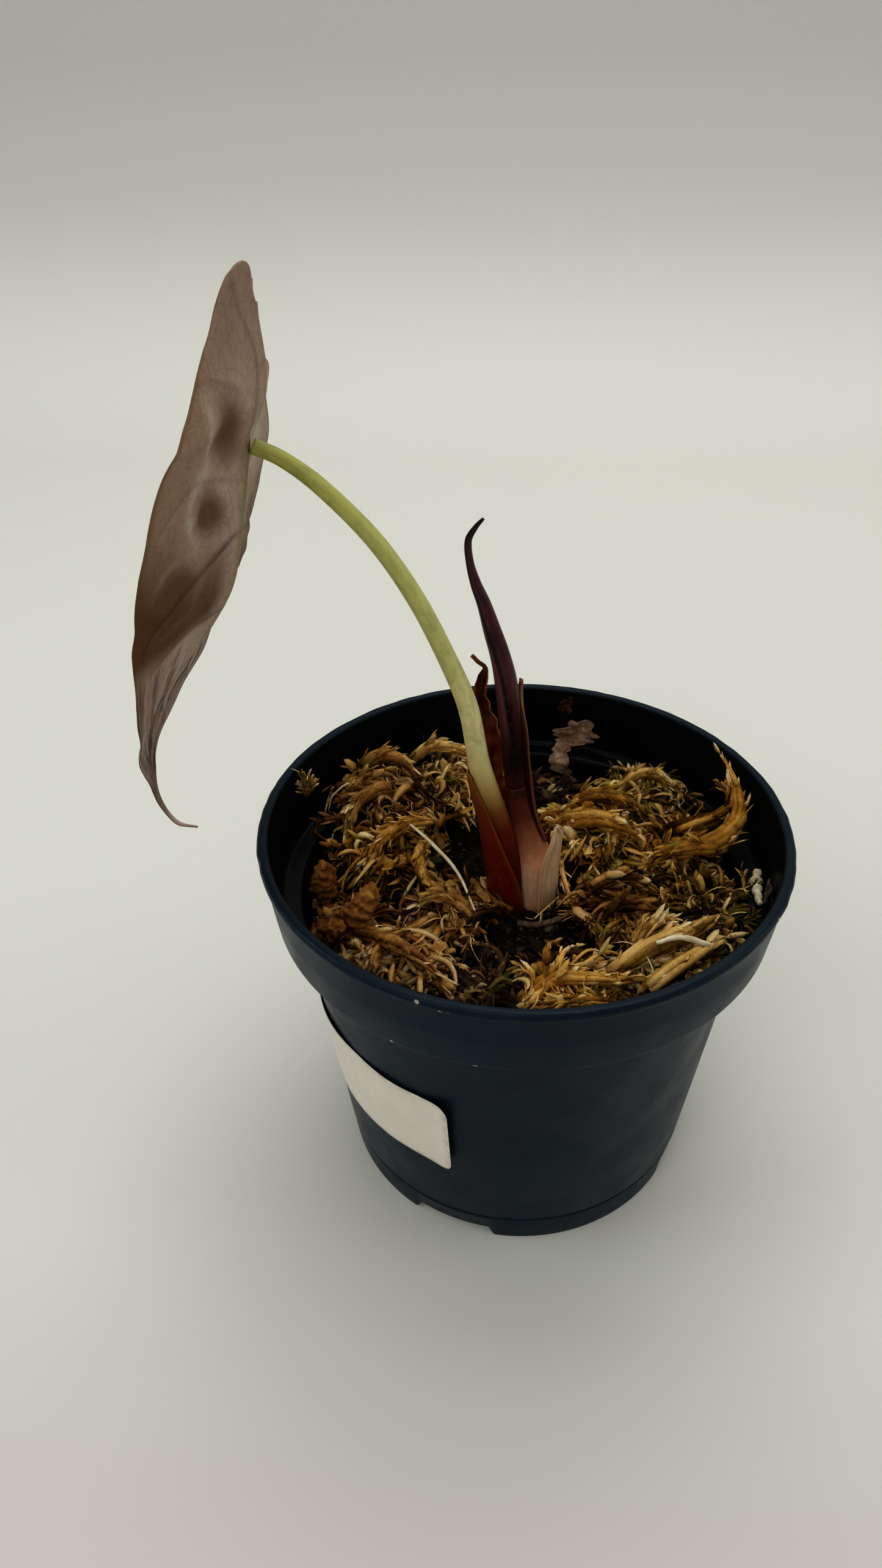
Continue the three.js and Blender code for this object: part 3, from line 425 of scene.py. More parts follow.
def follow(stations, shares):
    """Along the smooth path through rows of x, y, z and other numbers, at shares of its length: its points,
    each of the other numbers, and the whole length."""
    rows = np.array(stations, float)
    path, walked = dense_path(rows[:, :3])
    marks = [walked[np.argmin(((path - row[:3]) ** 2).sum(1))] for row in rows]
    lengths = shares * walked[-1]
    others = smooth(list(zip(marks, rows[:, 3:])), lengths)
    return at_length(path, walked, lengths), np.moveaxis(others, -1, 0), walked[-1]


def unit(vectors):
    """Vectors made one long."""
    return vectors / np.maximum(np.linalg.norm(vectors, axis=-1, keepdims=True), 1e-9)


def lumps(points, size, seed, waves=28):
    """Smooth random relief about 1 high: a sum of sine waves in random directions, each about `size` long."""
    draw = np.random.default_rng(seed)
    directions = unit(draw.normal(size=(waves, 3)))
    directions = directions * (2 * np.pi / (size * draw.uniform(0.6, 1.7, (waves, 1))))
    phases = draw.uniform(0, 2 * np.pi, waves)
    return np.sin(points @ directions.T + phases).sum(-1) / np.sqrt(waves / 2)


# %% Faces and pieces
def grid_faces(rows, columns, around=False):
    """Four-sided faces of a grid of points; around joins its last column to its first."""
    i, j = grid_of(np.arange(rows - 1), np.arange(columns if around else columns - 1))
    after = (j + 1) % columns
    corners = [i * columns + j, i * columns + after, (i + 1) * columns + after, (i + 1) * columns + j]
    return np.stack(corners, -1).reshape(-1, 4)


def volume(points, faces):
    """Six times the volume inside the faces: positive where they face outwards."""
    total = 0
    for block in faces:
        for k in range(1, block.shape[1] - 1):
            a, b, c = points[block[:, 0]], points[block[:, k]], points[block[:, k + 1]]
            total += (a * np.cross(b, c)).sum()
    return total


def add_piece(name, points, faces, materials, slot, replaces=(), uv=None, values=None, which=None,
              flat=False):
    """Makes a mesh object from points in millimetres and blocks of faces, facing outwards, on the plant's
    body."""
    points = np.asarray(points, float).reshape(-1, 3)
    faces = [np.asarray(block) for block in faces if len(block)]
    if volume(points, faces) < 0:
        faces = [block[:, ::-1] for block in faces]
    corners = np.concatenate([block.ravel() for block in faces])
    sizes = np.concatenate([np.full(len(block), block.shape[1]) for block in faces])
    mesh = bpy.data.meshes.new(name)
    mesh.vertices.add(len(points))
    mesh.vertices.foreach_set("co", (points * MM).ravel())
    mesh.loops.add(len(corners))
    mesh.loops.foreach_set("vertex_index", corners)
    mesh.polygons.add(len(sizes))
    mesh.polygons.foreach_set("loop_start", np.concatenate([[0], np.cumsum(sizes)[:-1]]))
    mesh.polygons.foreach_set("use_smooth", np.full(len(sizes), not flat))
    if which is not None:
        mesh.polygons.foreach_set("material_index", which)
    if uv is not None:
        layer = mesh.uv_layers.new(name="UVMap")
        layer.data.foreach_set("uv", np.asarray(uv, float).reshape(-1, 2)[corners].ravel())
    for key, numbers in (values or {}).items():
        data = mesh.attributes.new(key, "FLOAT", "POINT").data
        data.foreach_set("value", np.asarray(numbers, float).ravel())
    mesh.update(calc_edges=True)
    for material in materials:
        mesh.materials.append(material)
    piece = bpy.data.objects.new(name, mesh)
    bpy.context.collection.objects.link(piece)
    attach(piece, "root")
    if replaces:
        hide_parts(*replaces)
    print(name, len(points), "points", int((sizes - 2).sum()), "triangles")
    return piece


# %% [markdown]
# Two kinds of closed skin serve nearly every piece: rings that end in a point at both ends, and a sheet with
# two faces and an edge.

# %% Skins over rings and sheets
def rings_with_ends(rings):
    """Points and faces of a skin over closed rings, with a middle point at each end."""
    rows, columns = rings.shape[:2]
    points = np.concatenate([rings.reshape(-1, 3), rings[0].mean(0)[None], rings[-1].mean(0)[None]])
    j = np.arange(columns)
    after = (j + 1) % columns
    start = np.stack([np.full(columns, rows * columns), after, j], -1)
    last = (rows - 1) * columns
    end = np.stack([np.full(columns, rows * columns + 1), last + j, last + after], -1)
    return points, [grid_faces(rows, columns, around=True), np.concatenate([start, end])]


def grid_uv(rows, columns, length, around=False):
    """UV of a grid's skin: 0 to 1 across or round, and millimetres along. Last come the two end points of a
    skin over rings, or the second face of a sheet."""
    along, across = grid_of(np.linspace(0, length, rows), np.linspace(0, 1, columns, not around))
    uv = np.stack([across, along], -1).reshape(-1, 2)
    return np.concatenate([uv, [[0.5, 0], [0.5, length]] if around else uv])


def stalk_rings(stations, rows, columns, shape, reference=(0, 1, 0)):
    """Rings across the smooth path of a stalk: centre + radius * (cos * side + sin * front). The stations are
    rows of x, y, z and radius. The shape multiplies the radius at (share of length, turn)."""
    centres, (radii,), length = follow(stations, np.linspace(0, 1, rows))
    tangents = unit(np.gradient(centres, axis=0))
    side = unit(np.cross(tangents, reference))
    front = np.cross(side, tangents)
    turns = round_turns(columns)
    reach = radii[:, None] * shape(*grid_of(np.linspace(0, 1, rows), turns))
    rings = (centres[:, None] + (reach * np.cos(turns))[..., None] * side[:, None]
             + (reach * np.sin(turns))[..., None] * front[:, None])
    return rings, length


def thin_sheet(grid, thickness):
    """Points and faces of a closed sheet: the grid moved half its thickness both ways along its normals, and
    an edge."""
    rows, columns = grid.shape[:2]
    normals = unit(np.cross(np.gradient(grid, axis=0), np.gradient(grid, axis=1)))
    half = np.broadcast_to(np.asarray(thickness) / 2, (rows, columns))[..., None]
    points = np.concatenate([(grid + normals * half).reshape(-1, 3), (grid - normals * half).reshape(-1, 3)])
    top = grid_faces(rows, columns)
    index = np.arange(rows * columns).reshape(rows, columns)
    edge = np.concatenate([index[0, :-1], index[:-1, -1], index[-1, :0:-1], index[:0:-1, 0]])
    after = np.roll(edge, -1)
    below = rows * columns
    return points, [top, top[:, ::-1] + below, np.stack([edge, edge + below, after + below, after], -1)]


# %% [markdown]
# ## The pot
# A nursery pot is blown or moulded from thin black plastic: a tapered wall, a wide collar so that pots stack,
# a rolled lip, and a foot ring with notches that let water out. Turning a profile about an axis makes it. The
# profile below goes once round the wall, from the middle of the underside, up the outside, over the lip and
# down the inside. Where a notch is, the foot ring's height shrinks to nothing.

# %% Pot shape
RIM_RADIUS, POT_HEIGHT, LIP_WIDTH, LIP_HEIGHT, WALL = 60, 96, 2.6, 2.2, 1.3
COLLAR_BOTTOM_Z, COLLAR_BOTTOM_RADIUS, BODY_TOP_RADIUS, LEDGE_Z = 77.6, 57.4, 52.3, 78.8
GROOVE_Z, GROOVE_RADIUS, GROOVE_DEPTH = 8.6, 44.6, 0.5
FOOT_RADIUS, FOOT_RING_WIDTH, FOOT_HEIGHT, FLOOR_THICKNESS, CENTRE_FOOT_RADIUS = 43.6, 1.7, 3.2, 1.6, 8
NOTCH_ANGLE, FIRST_NOTCH, NOTCH_COUNT = 27, -18.5, 4
DRAIN_COUNT, DRAIN_RADIUS, DRAIN_CIRCLE = 8, 3.5, 29
POT_COLUMNS = 384
FLOOR_TOP = FOOT_HEIGHT + FLOOR_THICKNESS


def wall_outside(z):
    """Radius of the wall's outside: it grows evenly from the groove to the collar."""
    return GROOVE_RADIUS + (BODY_TOP_RADIUS - GROOVE_RADIUS) * (z - GROOVE_Z) / (COLLAR_BOTTOM_Z - GROOVE_Z)


def rounded(corners, radius, points=5):
    """A profile with its inner corners rounded: each corner becomes a short quadratic curve."""
    corners = np.array(corners, float)
    profile = [corners[:1]]
    for before, corner, after in zip(corners[:-2], corners[1:-1], corners[2:]):
        back, on = before - corner, after - corner
        cut = min(radius, 0.45 * np.linalg.norm(back), 0.45 * np.linalg.norm(on))
        start = corner + back / np.linalg.norm(back) * cut
        end = corner + on / np.linalg.norm(on) * cut
        t = np.linspace(0, 1, points)[:, None]
        profile.append((1 - t) ** 2 * start + 2 * t * (1 - t) * corner + t**2 * end)
    return np.concatenate(profile + [corners[-1:]])


lip_inside = RIM_RADIUS - LIP_WIDTH
under_lip = POT_HEIGHT - LIP_HEIGHT
foot_inside = FOOT_RADIUS - FOOT_RING_WIDTH
profile = rounded([
    (0.01, 0), (CENTRE_FOOT_RADIUS - 0.6, 0), (CENTRE_FOOT_RADIUS, FOOT_HEIGHT),
    (foot_inside - 0.4, FOOT_HEIGHT), (foot_inside, 0), (FOOT_RADIUS, 0),
    (GROOVE_RADIUS - 0.1, GROOVE_Z - 0.5), (GROOVE_RADIUS - GROOVE_DEPTH, GROOVE_Z),
    (GROOVE_RADIUS + 0.1, GROOVE_Z + 0.5), (wall_outside(40), 40), (BODY_TOP_RADIUS, COLLAR_BOTTOM_Z),
    (COLLAR_BOTTOM_RADIUS - 0.7, COLLAR_BOTTOM_Z - 0.3), (COLLAR_BOTTOM_RADIUS, COLLAR_BOTTOM_Z + 0.4),
    (58.4, 86), (RIM_RADIUS - 1.1, under_lip - 0.2), (RIM_RADIUS - 0.1, under_lip + 0.3),
    (RIM_RADIUS, POT_HEIGHT - 0.7), (RIM_RADIUS - 0.6, POT_HEIGHT), (lip_inside + 0.5, POT_HEIGHT),
    (lip_inside, POT_HEIGHT - 0.6), (COLLAR_BOTTOM_RADIUS - WALL + 0.7, 87),
    (COLLAR_BOTTOM_RADIUS - WALL, LEDGE_Z + 1.2), (COLLAR_BOTTOM_RADIUS - WALL - 0.9, LEDGE_Z + 0.3),
    (BODY_TOP_RADIUS - WALL + 0.5, LEDGE_Z), (wall_outside(LEDGE_Z - 1) - WALL, LEDGE_Z - 1),
    (wall_outside(40) - WALL, 40), (wall_outside(FLOOR_TOP + 1) - WALL, FLOOR_TOP + 1),
    (wall_outside(FLOOR_TOP) - WALL - 1.2, FLOOR_TOP), (0.01, FLOOR_TOP),
], 0.5)
turns = round_turns(POT_COLUMNS)
radius, turn = grid_of(profile[:, 0], turns)
height = np.repeat(profile[:, 1:], POT_COLUMNS, 1)

# The foot ring's height falls to nothing inside a notch
degrees = np.degrees(turn) + 90
from_notch = np.abs((degrees - FIRST_NOTCH + 180 / NOTCH_COUNT) % (360 / NOTCH_COUNT) - 180 / NOTCH_COUNT)
ring_share = 0.004 + 0.996 * step_smoothly(from_notch, NOTCH_ANGLE / 2 - 1.6, NOTCH_ANGLE / 2 + 0.2)
in_ring = (radius > CENTRE_FOOT_RADIUS + 2) & (height < FOOT_HEIGHT)
height = np.where(in_ring, FOOT_HEIGHT - (FOOT_HEIGHT - height) * ring_share, height)

# The lip's outer edge is a little uneven, as moulding leaves it
on_lip = step_smoothly(height, under_lip, POT_HEIGHT - 0.5)
on_lip = on_lip * step_smoothly(radius, lip_inside + 1, RIM_RADIUS)
around = polar(RIM_RADIUS, turn, 0)
radius = radius - on_lip * 0.12 * (1 + 0.6 * lumps(around, 5, 3) + 0.6 * lumps(around, 22, 4))
pot_skin = rings_with_ends(polar(radius, turn, height))
inside_row = (np.arange(len(profile)) > profile[:, 1].argmax() + 6).astype(float)
inside_shade_share = np.concatenate([np.repeat(inside_row, POT_COLUMNS), [0, 1]])

# %% [markdown]
# The plastic is near black with a little blue in it. It isn't glossy: a fine moulding grain scatters the
# light, so the grain goes into the bump, and broad smears go into the roughness. Thin dust and dried splashes
# lighten it here and there. Its inside is darkened further with painted shade.

# %% Pot finish
pot_plastic, tree, shader = new_material("pot_plastic", Specular_IOR_Level=0.22)
place = millimetres(tree)
clouds = clouded(place, 0.05, 0.5, (0.0092, 0.0235, 0.0400), (0.0056, 0.0150, 0.0268))
dust = remap(noise(place, 0.9, 6.0, 0.75), 0.6, 0.8)
colour = tint(clouds["Colour"], dust, 0.12, (0.12, 0.12, 0.115))
# Chips and dried splashes: a place and a size each
FLECKS = [(-18.6, -57, 95.2, 0.55), (-14.2, -58.3, 94, 0.5), (-12.6, -58.7, 93.9, 0.5),
          (-7.6, -56.6, 78, 0.6), (-24.5, -51.8, 78.2, 0.5), (52, -29.4, 95, 0.5), (-58.9, 10, 95.4, 0.5)]
for *middle, size in FLECKS:
    gap = add_node(tree, "VectorMath", {0: place, 1: middle}, operation="DISTANCE").outputs["Value"]
    ragged = plus(gap, times(noise(place, 1.7, 2.0), 0.9))
    colour = mix(remap(ragged, size + 0.5, size + 0.25), colour, (0.42, 0.40, 0.34))
# Painted shade: the inside of the pot is darkened nearly to black
colour = tint_by(colour, [("inside", 0.85, (0.0012, 0.0018, 0.0025))])
lay(shader, colour, noise(place, 2.6, 4.0, 0.7), 0.05, 0.5)
join(remap(noise(place, 0.08, 4.0, 0.6, 0.5), 0.3, 0.7, 0.30, 0.42), shader["Roughness"])

pot = add_piece("nursery_pot", *pot_skin, [pot_plastic], "pot_plastic", ["pot"],
                values={"inside": inside_shade_share})

# %% [markdown]
# Eight drain holes go through the floor. A Boolean modifier cuts them with a ring of short cylinders, and is
# applied at once, so that the finished mesh holds the holes.

# %% Drain holes
drill_turns = 2 * np.pi * (np.arange(DRAIN_COUNT) + 0.5) / DRAIN_COUNT
sides = round_turns(32)
drill_points, drill_faces = [], []
for k, drill_turn in enumerate(drill_turns):
    middle = polar(DRAIN_CIRCLE, drill_turn, 0)
    rings = middle + np.stack([polar(DRAIN_RADIUS, sides, z) for z in (-2.0, FLOOR_TOP + 2)])
    points, faces = rings_with_ends(rings)
    drill_points += [tuple(point * MM) for point in points]
    drill_faces += [tuple(int(i) + k * len(points) for i in face) for block in faces for face in block]
drill_mesh = bpy.data.meshes.new("drill")
drill_mesh.from_pydata(drill_points, [], drill_faces)
drill = bpy.data.objects.new("drill", drill_mesh)
bpy.context.collection.objects.link(drill)
cut = pot.modifiers.new("drains", "BOOLEAN")
cut.object = drill
cut.solver = "EXACT"
holed = bpy.data.meshes.new_from_object(pot.evaluated_get(bpy.context.evaluated_depsgraph_get()))
pot.modifiers.clear()
pot.data = holed
bpy.data.objects.remove(drill)
print("pot with drains:", len(holed.polygons), "faces")

# %% [markdown]
# ## The label
# A blank white address label is wrapped on the cone. It is a grid in two directions: round the wall, and up
# it. Its corners are round because each column is shortened by the corner's circle, and its right end has
# come loose, so it lifts off the wall in a parabola. Paper like this has a soft tooth, a few creases where it
# was smoothed round the taper, and grey dirt along its edges.

# %% Label
LABEL_WIDTH, LABEL_HEIGHT, LABEL_CORNER = 66.7, 25.4, 3.2
LABEL_RIGHT_END, LABEL_MIDDLE_Z, LABEL_LIFT, LABEL_LIFT_LENGTH = -16, 41.5, 1.6, 9
LABEL_THICKNESS, LABEL_GAP, LABEL_ROWS, LABEL_COLUMNS = 0.16, 0.22, 36, 150
along = LABEL_WIDTH * 0.5 * (1 - np.cos(np.pi * np.linspace(0, 1, LABEL_COLUMNS)))
to_end = np.minimum(along, LABEL_WIDTH - along)
inset = LABEL_CORNER - np.sqrt(LABEL_CORNER**2 - np.clip(LABEL_CORNER - to_end, 0, None) ** 2)
up = np.linspace(-0.5, 0.5, LABEL_ROWS)[None] * (LABEL_HEIGHT - 2 * inset)[:, None]
label_z = LABEL_MIDDLE_Z + up
label_turn = np.radians(LABEL_RIGHT_END - 90) - along[:, None] / wall_outside(LABEL_MIDDLE_Z) + 0 * up
flat = on_plane(along[:, None], up)
lift = LABEL_LIFT * np.clip(1 - along[:, None] / LABEL_LIFT_LENGTH, 0, None) ** 2
creases = 0.16 * np.abs(lumps(flat * [0.35, 1, 1], 9, 21)) * step_smoothly(np.abs(up), 5, 13)
label_radius = wall_outside(label_z) + LABEL_GAP + lift + creases

label_paper, tree, shader = new_material("label_paper", Roughness=0.62, Specular_IOR_Level=0.3)
place = millimetres(tree)
paper = clouded(place, 0.12, 0.35, (0.80, 0.765, 0.70), (0.70, 0.66, 0.58))
grime = times(attribute(tree, "edge"), remap(noise(place, 0.5, 4.0, 0.7), 0.35, 0.7))
specks = remap(noise(place, 1.6, 2.0, 0.5), 0.70, 0.76)
clean = tint(paper["Colour"], grime, 0.55, (0.36, 0.32, 0.26))
lay(shader, tint(clean, specks, 0.5, (0.25, 0.2, 0.15)), noise(place, 4.0, 3.0, 0.6), 0.04, 0.5)
label_skin = thin_sheet(polar(label_radius, label_turn, label_z), LABEL_THICKNESS)
edge_share = 1 - step_smoothly(np.minimum(to_end[:, None], LABEL_HEIGHT / 2 - np.abs(up)), 0, 2.2)
add_piece("blank_label", *label_skin, [label_paper], "label_paper", ["label"],
          values={"edge": np.tile(edge_share.ravel(), 2)})

# %% [markdown]
# ## The peat
# Old peat is dark, crumbly and wet. The body is a lump turned like the pot's inside, whose top follows the
# same formula as its solid, with finer and finer relief on top. On it lie thousands of crumbs: small lumps of
# bark and fibre, each a stretched, uneven and turned octahedron.

# %% Peat
PEAT_TOP_Z = 71
PLANT_MIDDLE = np.array([0.2, 1.6])


def peat_top(x, y):
    """The peat's height: a hollow in front of the plant, a slow swell, and crumbs of two sizes."""
    hollow = -4.5 * np.exp(-(((x - 4) / 17) ** 2) - ((y + 16) / 10) ** 2)
    swell = 0.8 * np.sin(x * 0.42 + 1.3) * np.cos(y * 0.47 + 0.6) + 0.5 * np.sin(x * 0.9 + y * 0.7)
    return PEAT_TOP_Z + hollow + swell


def fine_peat_top(x, y):
    """The same height with finer crumbs."""
    flat = on_plane(x, y)
    return peat_top(x, y) + 0.45 * lumps(flat, 2.4, 31) + 0.25 * lumps(flat, 1.1, 32)


PEAT_ROWS, PEAT_COLUMNS, PEAT_GAP, PEAT_SHOULDER = 90, 200, 1.1, 6
peat_edge = wall_outside(PEAT_TOP_Z - PEAT_SHOULDER) - WALL - PEAT_GAP
peat_turns = round_turns(PEAT_COLUMNS)
shares = np.linspace(1, 0.01, PEAT_ROWS)
top_radius, top_turn = grid_of(shares * (peat_edge + 0.4), peat_turns)
top_rings = polar(top_radius, top_turn, 0.0)
top_rings[..., 2] = fine_peat_top(top_rings[..., 0], top_rings[..., 1])
side_rings = np.stack([polar(r, peat_turns, z) for r, z in (
    (1, FLOOR_TOP + 0.3), (peat_edge * 0.93 * 0.93, FLOOR_TOP + 0.3),
    (wall_outside(FLOOR_TOP + 2) - WALL - PEAT_GAP, FLOOR_TOP + 2),
    (peat_edge - 0.4, PEAT_TOP_Z - PEAT_SHOULDER))])

peat_finish, tree, shader = new_material("peat", Roughness=0.9, Specular_IOR_Level=0.25)
place = millimetres(tree)
crumb = clouded(place, 0.5, 0.8, (0.035, 0.020, 0.011), (0.006, 0.004, 0.003))
lay(shader, crumb["Colour"], noise(place, 1.8, 5.0, 0.7), 0.5)
add_piece("peat_body", *rings_with_ends(np.concatenate([side_rings, top_rings])), [peat_finish], "peat",
          ["peat"])

# %% Crumbs
CRUMBS, PLANT_CLEARANCE = 4400, 7.5
draw = np.random.default_rng(41)
crumb_radius = peat_edge * np.sqrt(draw.uniform(0, 1, CRUMBS)) * 0.97
crumb_turn = draw.uniform(0, 2 * np.pi, CRUMBS)
near_hollow = draw.uniform(0, 1, CRUMBS) < 0.5
crumb_x = np.where(near_hollow, draw.normal(5, 11, CRUMBS), crumb_radius * np.cos(crumb_turn))
crumb_y = np.where(near_hollow, draw.normal(-19, 8, CRUMBS), crumb_radius * np.sin(crumb_turn))
from_plant = np.hypot(crumb_x - PLANT_MIDDLE[0], crumb_y - PLANT_MIDDLE[1])
keep = (np.hypot(crumb_x, crumb_y) < peat_edge - 1) & (from_plant > PLANT_CLEARANCE)
crumb_x, crumb_y = crumb_x[keep], crumb_y[keep]
count = len(crumb_x)
octahedron = np.array([[1, 0, 0], [-1, 0, 0], [0, 1, 0], [0, -1, 0], [0, 0, 1], [0, 0, -1]], float)
octahedron_faces = np.array([[0, 2, 4], [2, 1, 4], [1, 3, 4], [3, 0, 4], [2, 0, 5], [1, 2, 5], [3, 1, 5],
                             [0, 3, 5]])
sizes = draw.lognormal(-0.55, 0.45, (count, 1, 1)) * np.array([1.0, 0.62, 0.42])
sizes = sizes * draw.uniform(0.7, 1.4, (count, 1, 3))
shapes = octahedron * sizes * draw.uniform(0.7, 1.3, (count, 6, 1))
spin, tilt = draw.uniform(0, 2 * np.pi, count), draw.uniform(-0.6, 0.6, count)
spun = turned(turned(shapes, tilt[:, None], 0, 2), spin[:, None], 0, 1)
middles = np.stack([crumb_x, crumb_y, fine_peat_top(crumb_x, crumb_y) + 0.25], -1)
crumb_points = spun + middles[:, None]
crumb_faces = (octahedron_faces[None] + 6 * np.arange(count)[:, None, None]).reshape(-1, 3)
crumb_tone = np.repeat(draw.uniform(0, 1, count) ** 2.5, 6)

crumb_finish, tree, shader = new_material("peat_crumbs", Roughness=0.8, Specular_IOR_Level=0.35)
place = millimetres(tree)
tone = plus(attribute(tree, "tone"), times(noise(place, 1.2, 3.0), 0.3))
colour = ramp(tone, [(0.1, (0.008, 0.005, 0.004)), (0.55, (0.035, 0.021, 0.012)), (0.9, (0.08, 0.05, 0.03)),
                     (1.0, (0.18, 0.13, 0.085))])
lay(shader, colour, noise(place, 3.0, 3.0, 0.6), 0.15)
add_piece("peat_crumbs", crumb_points, [crumb_faces], [crumb_finish], "peat", values={"tone": crumb_tone},
          flat=True)

# %% [markdown]
# ## The open leaf
# The leaf is arrow-shaped, with two lobes behind the petiole and one long tip. It is a grid of rows across
# the midrib. Each point lies at a place along the midrib and a reach across it: the half blade swings from
# the midrib by its own angle, and between the veins the blade sinks or swells. The veins themselves are lines
# in the same flat coordinates, so a point's distance to them gives their ridges, and the colour beside them.

# %% Leaf shape
LOBE_LENGTH, NOTCH_DEPTH, FAR_LOBE_SHORTER = 32.5, 7, 6
MIDRIB = [
    (-48.2, 0, 211.6), (-49.2, 0, 206.4), (-48.7, 0, 201.5), (-48.3, 0, 192), (-50, 0, 186), (-53.4, 0, 180),
    (-55.6, 0, 170), (-57.4, 0, 162), (-60, 0, 152.5), (-64.2, 0, 145), (-71.4, 0, 135), (-76.6, 0, 129),
    (-82.4, 0, 120.5), (-84.8, 0, 111.6), (-85, 0, 104), (-84, 0, 96.3), (-80.9, 0, 90.5), (-76.1, 0, 89.5),
]
HALF_WIDTH = [
    (-32.5, 10), (-27, 14.4), (-20, 22), (-10, 28.5), (0, 31), (10, 32), (20, 31.5), (35, 29), (50, 24.5),
    (65, 18), (78, 11), (86, 6.2), (91, 3.6), (95, 2.2), (99, 1.4), (104, 0.4),
]
NEAR_SWING = [
    (-32, 12), (0, 13.5), (25, 20), (38, 18), (50, 9), (60, -4), (72, -14), (90, -28), (104, -30),
]
FAR_SWING = [
    (-32, 14), (-20, 20), (-10, 15), (0, 6), (25, 7), (45, 2), (62, -9), (72, -11), (82, 2), (92, 16),
    (104, 16),
]
# How far the margin of each half bends sideways, along the midrib
NEAR_TRIM = [
    (-32, -1.8), (-28, -1.7), (-24, -1.8), (-18, -1.8), (-14, -1.7), (-11, -1.6), (-8, -1.3), (-3, -0.9),
    (0, -0.6), (4, -0.5), (10, -0.6), (15, -0.6), (20, -0.2), (28, -0.5), (35, -0.5), (41, -0.1), (60, 0),
    (88, -0.4), (96, 0),
]
FAR_TRIM = [(-32, 0), (0, 0.3), (5, 0.9), (12, 1.4), (20, 1.5), (25, 0.7), (30, 0.3), (45, 0.4), (60, 0.6),
            (70, 0.2), (80, 0)]
WAVE_HEIGHT, WAVE_LENGTH, CALM_TIP = 0.2, 17, 85
# Hollows between the veins: along, across, half length, half width, depth
HOLLOWS = [
    (-3, 9.5, 9, 6, 2), (13, 10.7, 6, 6, 1.6), (28, 17, 6, 6, -1.2), (-3, -10, 9, 6, 2), (13, -11, 6, 6, 1.6),
    (30, -16, 6, 6, -1.2),
]
# Side veins of one half: points along and across
SIDE_VEINS = [
    [(0, 0.4), (-5.5, 2.2), (-11.7, 3.7), (-20, 3.9), (-26.8, 7.6), (-29, 9.5)],
    [(-13.4, 9.5), (-17.1, 17), (-18.2, 21.4), (-17, 25)],
    [(6.8, 0.4), (4.6, 9), (2.7, 19.5), (5.8, 26), (8.8, 29.4)],
    [(17.2, 0.4), (21.1, 9.1), (24.8, 19.3), (32.8, 24), (39.7, 24.9)],
    [(34.4, 0.3), (36.3, 3), (36.9, 8.4), (38.9, 12.3), (41, 15.4), (44, 21)],
    [(48, 0.3), (52, 5), (57, 10), (64, 14.5)],
    [(61, 0.3), (65, 3.6), (71, 7.6), (78, 9)],
    [(73, 0.3), (77, 2.2), (83, 4.4), (90, 4.6)],
]
VEIN_STRENGTHS = [0.55, 0.4, 0.4, 1.0, 0.5, 0.6, 0.6, 0.6]
LEAF_ROWS, LEAF_COLUMNS, EDGE_THICKNESS, MIDDLE_SWELL = 220, 121, 0.2, 0.25

midrib_path, midrib_walked = dense_path(MIDRIB, 4000)
midrib_tangents = unit(np.gradient(midrib_path, axis=0))
midrib_length = midrib_walked[-1]


# %% [markdown]
# Two formulas do the work: where a flat point of the blade lies in the air, and how far it is from a vein.

# %% Places on the blade
def blade_place(along, across, relief):
    """Point of the blade: midrib + reach * cos(swing) sideways + (reach * sin(swing) + relief) away from the
    petiole's side."""
    lengths = np.clip(along + LOBE_LENGTH, 0, midrib_length)
    middle = at_length(midrib_path, midrib_walked, lengths)
    tangent = at_length(midrib_tangents, midrib_walked, lengths)
    outward = np.stack([tangent[..., 2], 0 * lengths, -tangent[..., 0]], -1)
    outward *= np.where(outward[..., :1] > 0, -1, 1)
    near = across > 0
    swing = np.radians(np.where(near, smooth(NEAR_SWING, along), smooth(FAR_SWING, along)))
    reach = np.abs(across)
    sideways = np.stack([0 * reach, np.where(near, -1, 1) * reach * np.cos(swing), 0 * reach], -1)
    return middle + sideways + outward * (reach * np.sin(swing) + relief)[..., None]


def distance_to(points, line, count=80):
    """Shortest distance from flat points to a smooth line, and the share of the line's length at that
    place."""
    path, walked = dense_path([(*point, 0) for point in line], 400)
    marks = at_length(path, walked, np.linspace(0, walked[-1], count))[:, :2]
    gaps = np.linalg.norm(points[..., None, :] - marks, axis=-1)
    nearest = gaps.argmin(-1)
    return gaps.min(-1), nearest / (count - 1)


# %% [markdown]
# Now the grid itself. Its relief adds up waves at the margin, the hollows, the veins with the quilted blade
# between them, and the folds towards the tip. Then it gets its place, its midrib and its thickness.

# %% Leaf grid
# v runs along the leaf from 0 to 1, and s across it from -1 to 1
v, s = grid_of(np.linspace(0, 1, LEAF_ROWS), np.linspace(-1, 1, LEAF_COLUMNS))
s = np.sign(s) * np.abs(s) ** 1.1
fade = np.clip(1 - v / 0.3, 0, None) ** 1.5
leaf_width = smooth(HALF_WIDTH, -LOBE_LENGTH + midrib_length * v)
leaf_along = (-LOBE_LENGTH + midrib_length * v
              + fade * (NOTCH_DEPTH * bell(s, 0.4) + np.clip(-s, 0, None) * FAR_LOBE_SHORTER
                        + 2.5 * np.abs(s) ** 6))
leaf_across = s * leaf_width
flat = np.stack([leaf_along, np.abs(leaf_across)], -1)
near = leaf_across > 0

relief = (WAVE_HEIGHT * np.sin(2 * np.pi * leaf_along / WAVE_LENGTH + np.where(near, 0, 1.5))
          * np.where(leaf_along > CALM_TIP, 0, np.abs(s) ** 3))
for a, b, half_length, half_width, depth in HOLLOWS:
    relief += depth * np.exp(-(((leaf_along - a) / half_length) ** 2) - ((leaf_across - b) / half_width) ** 2)

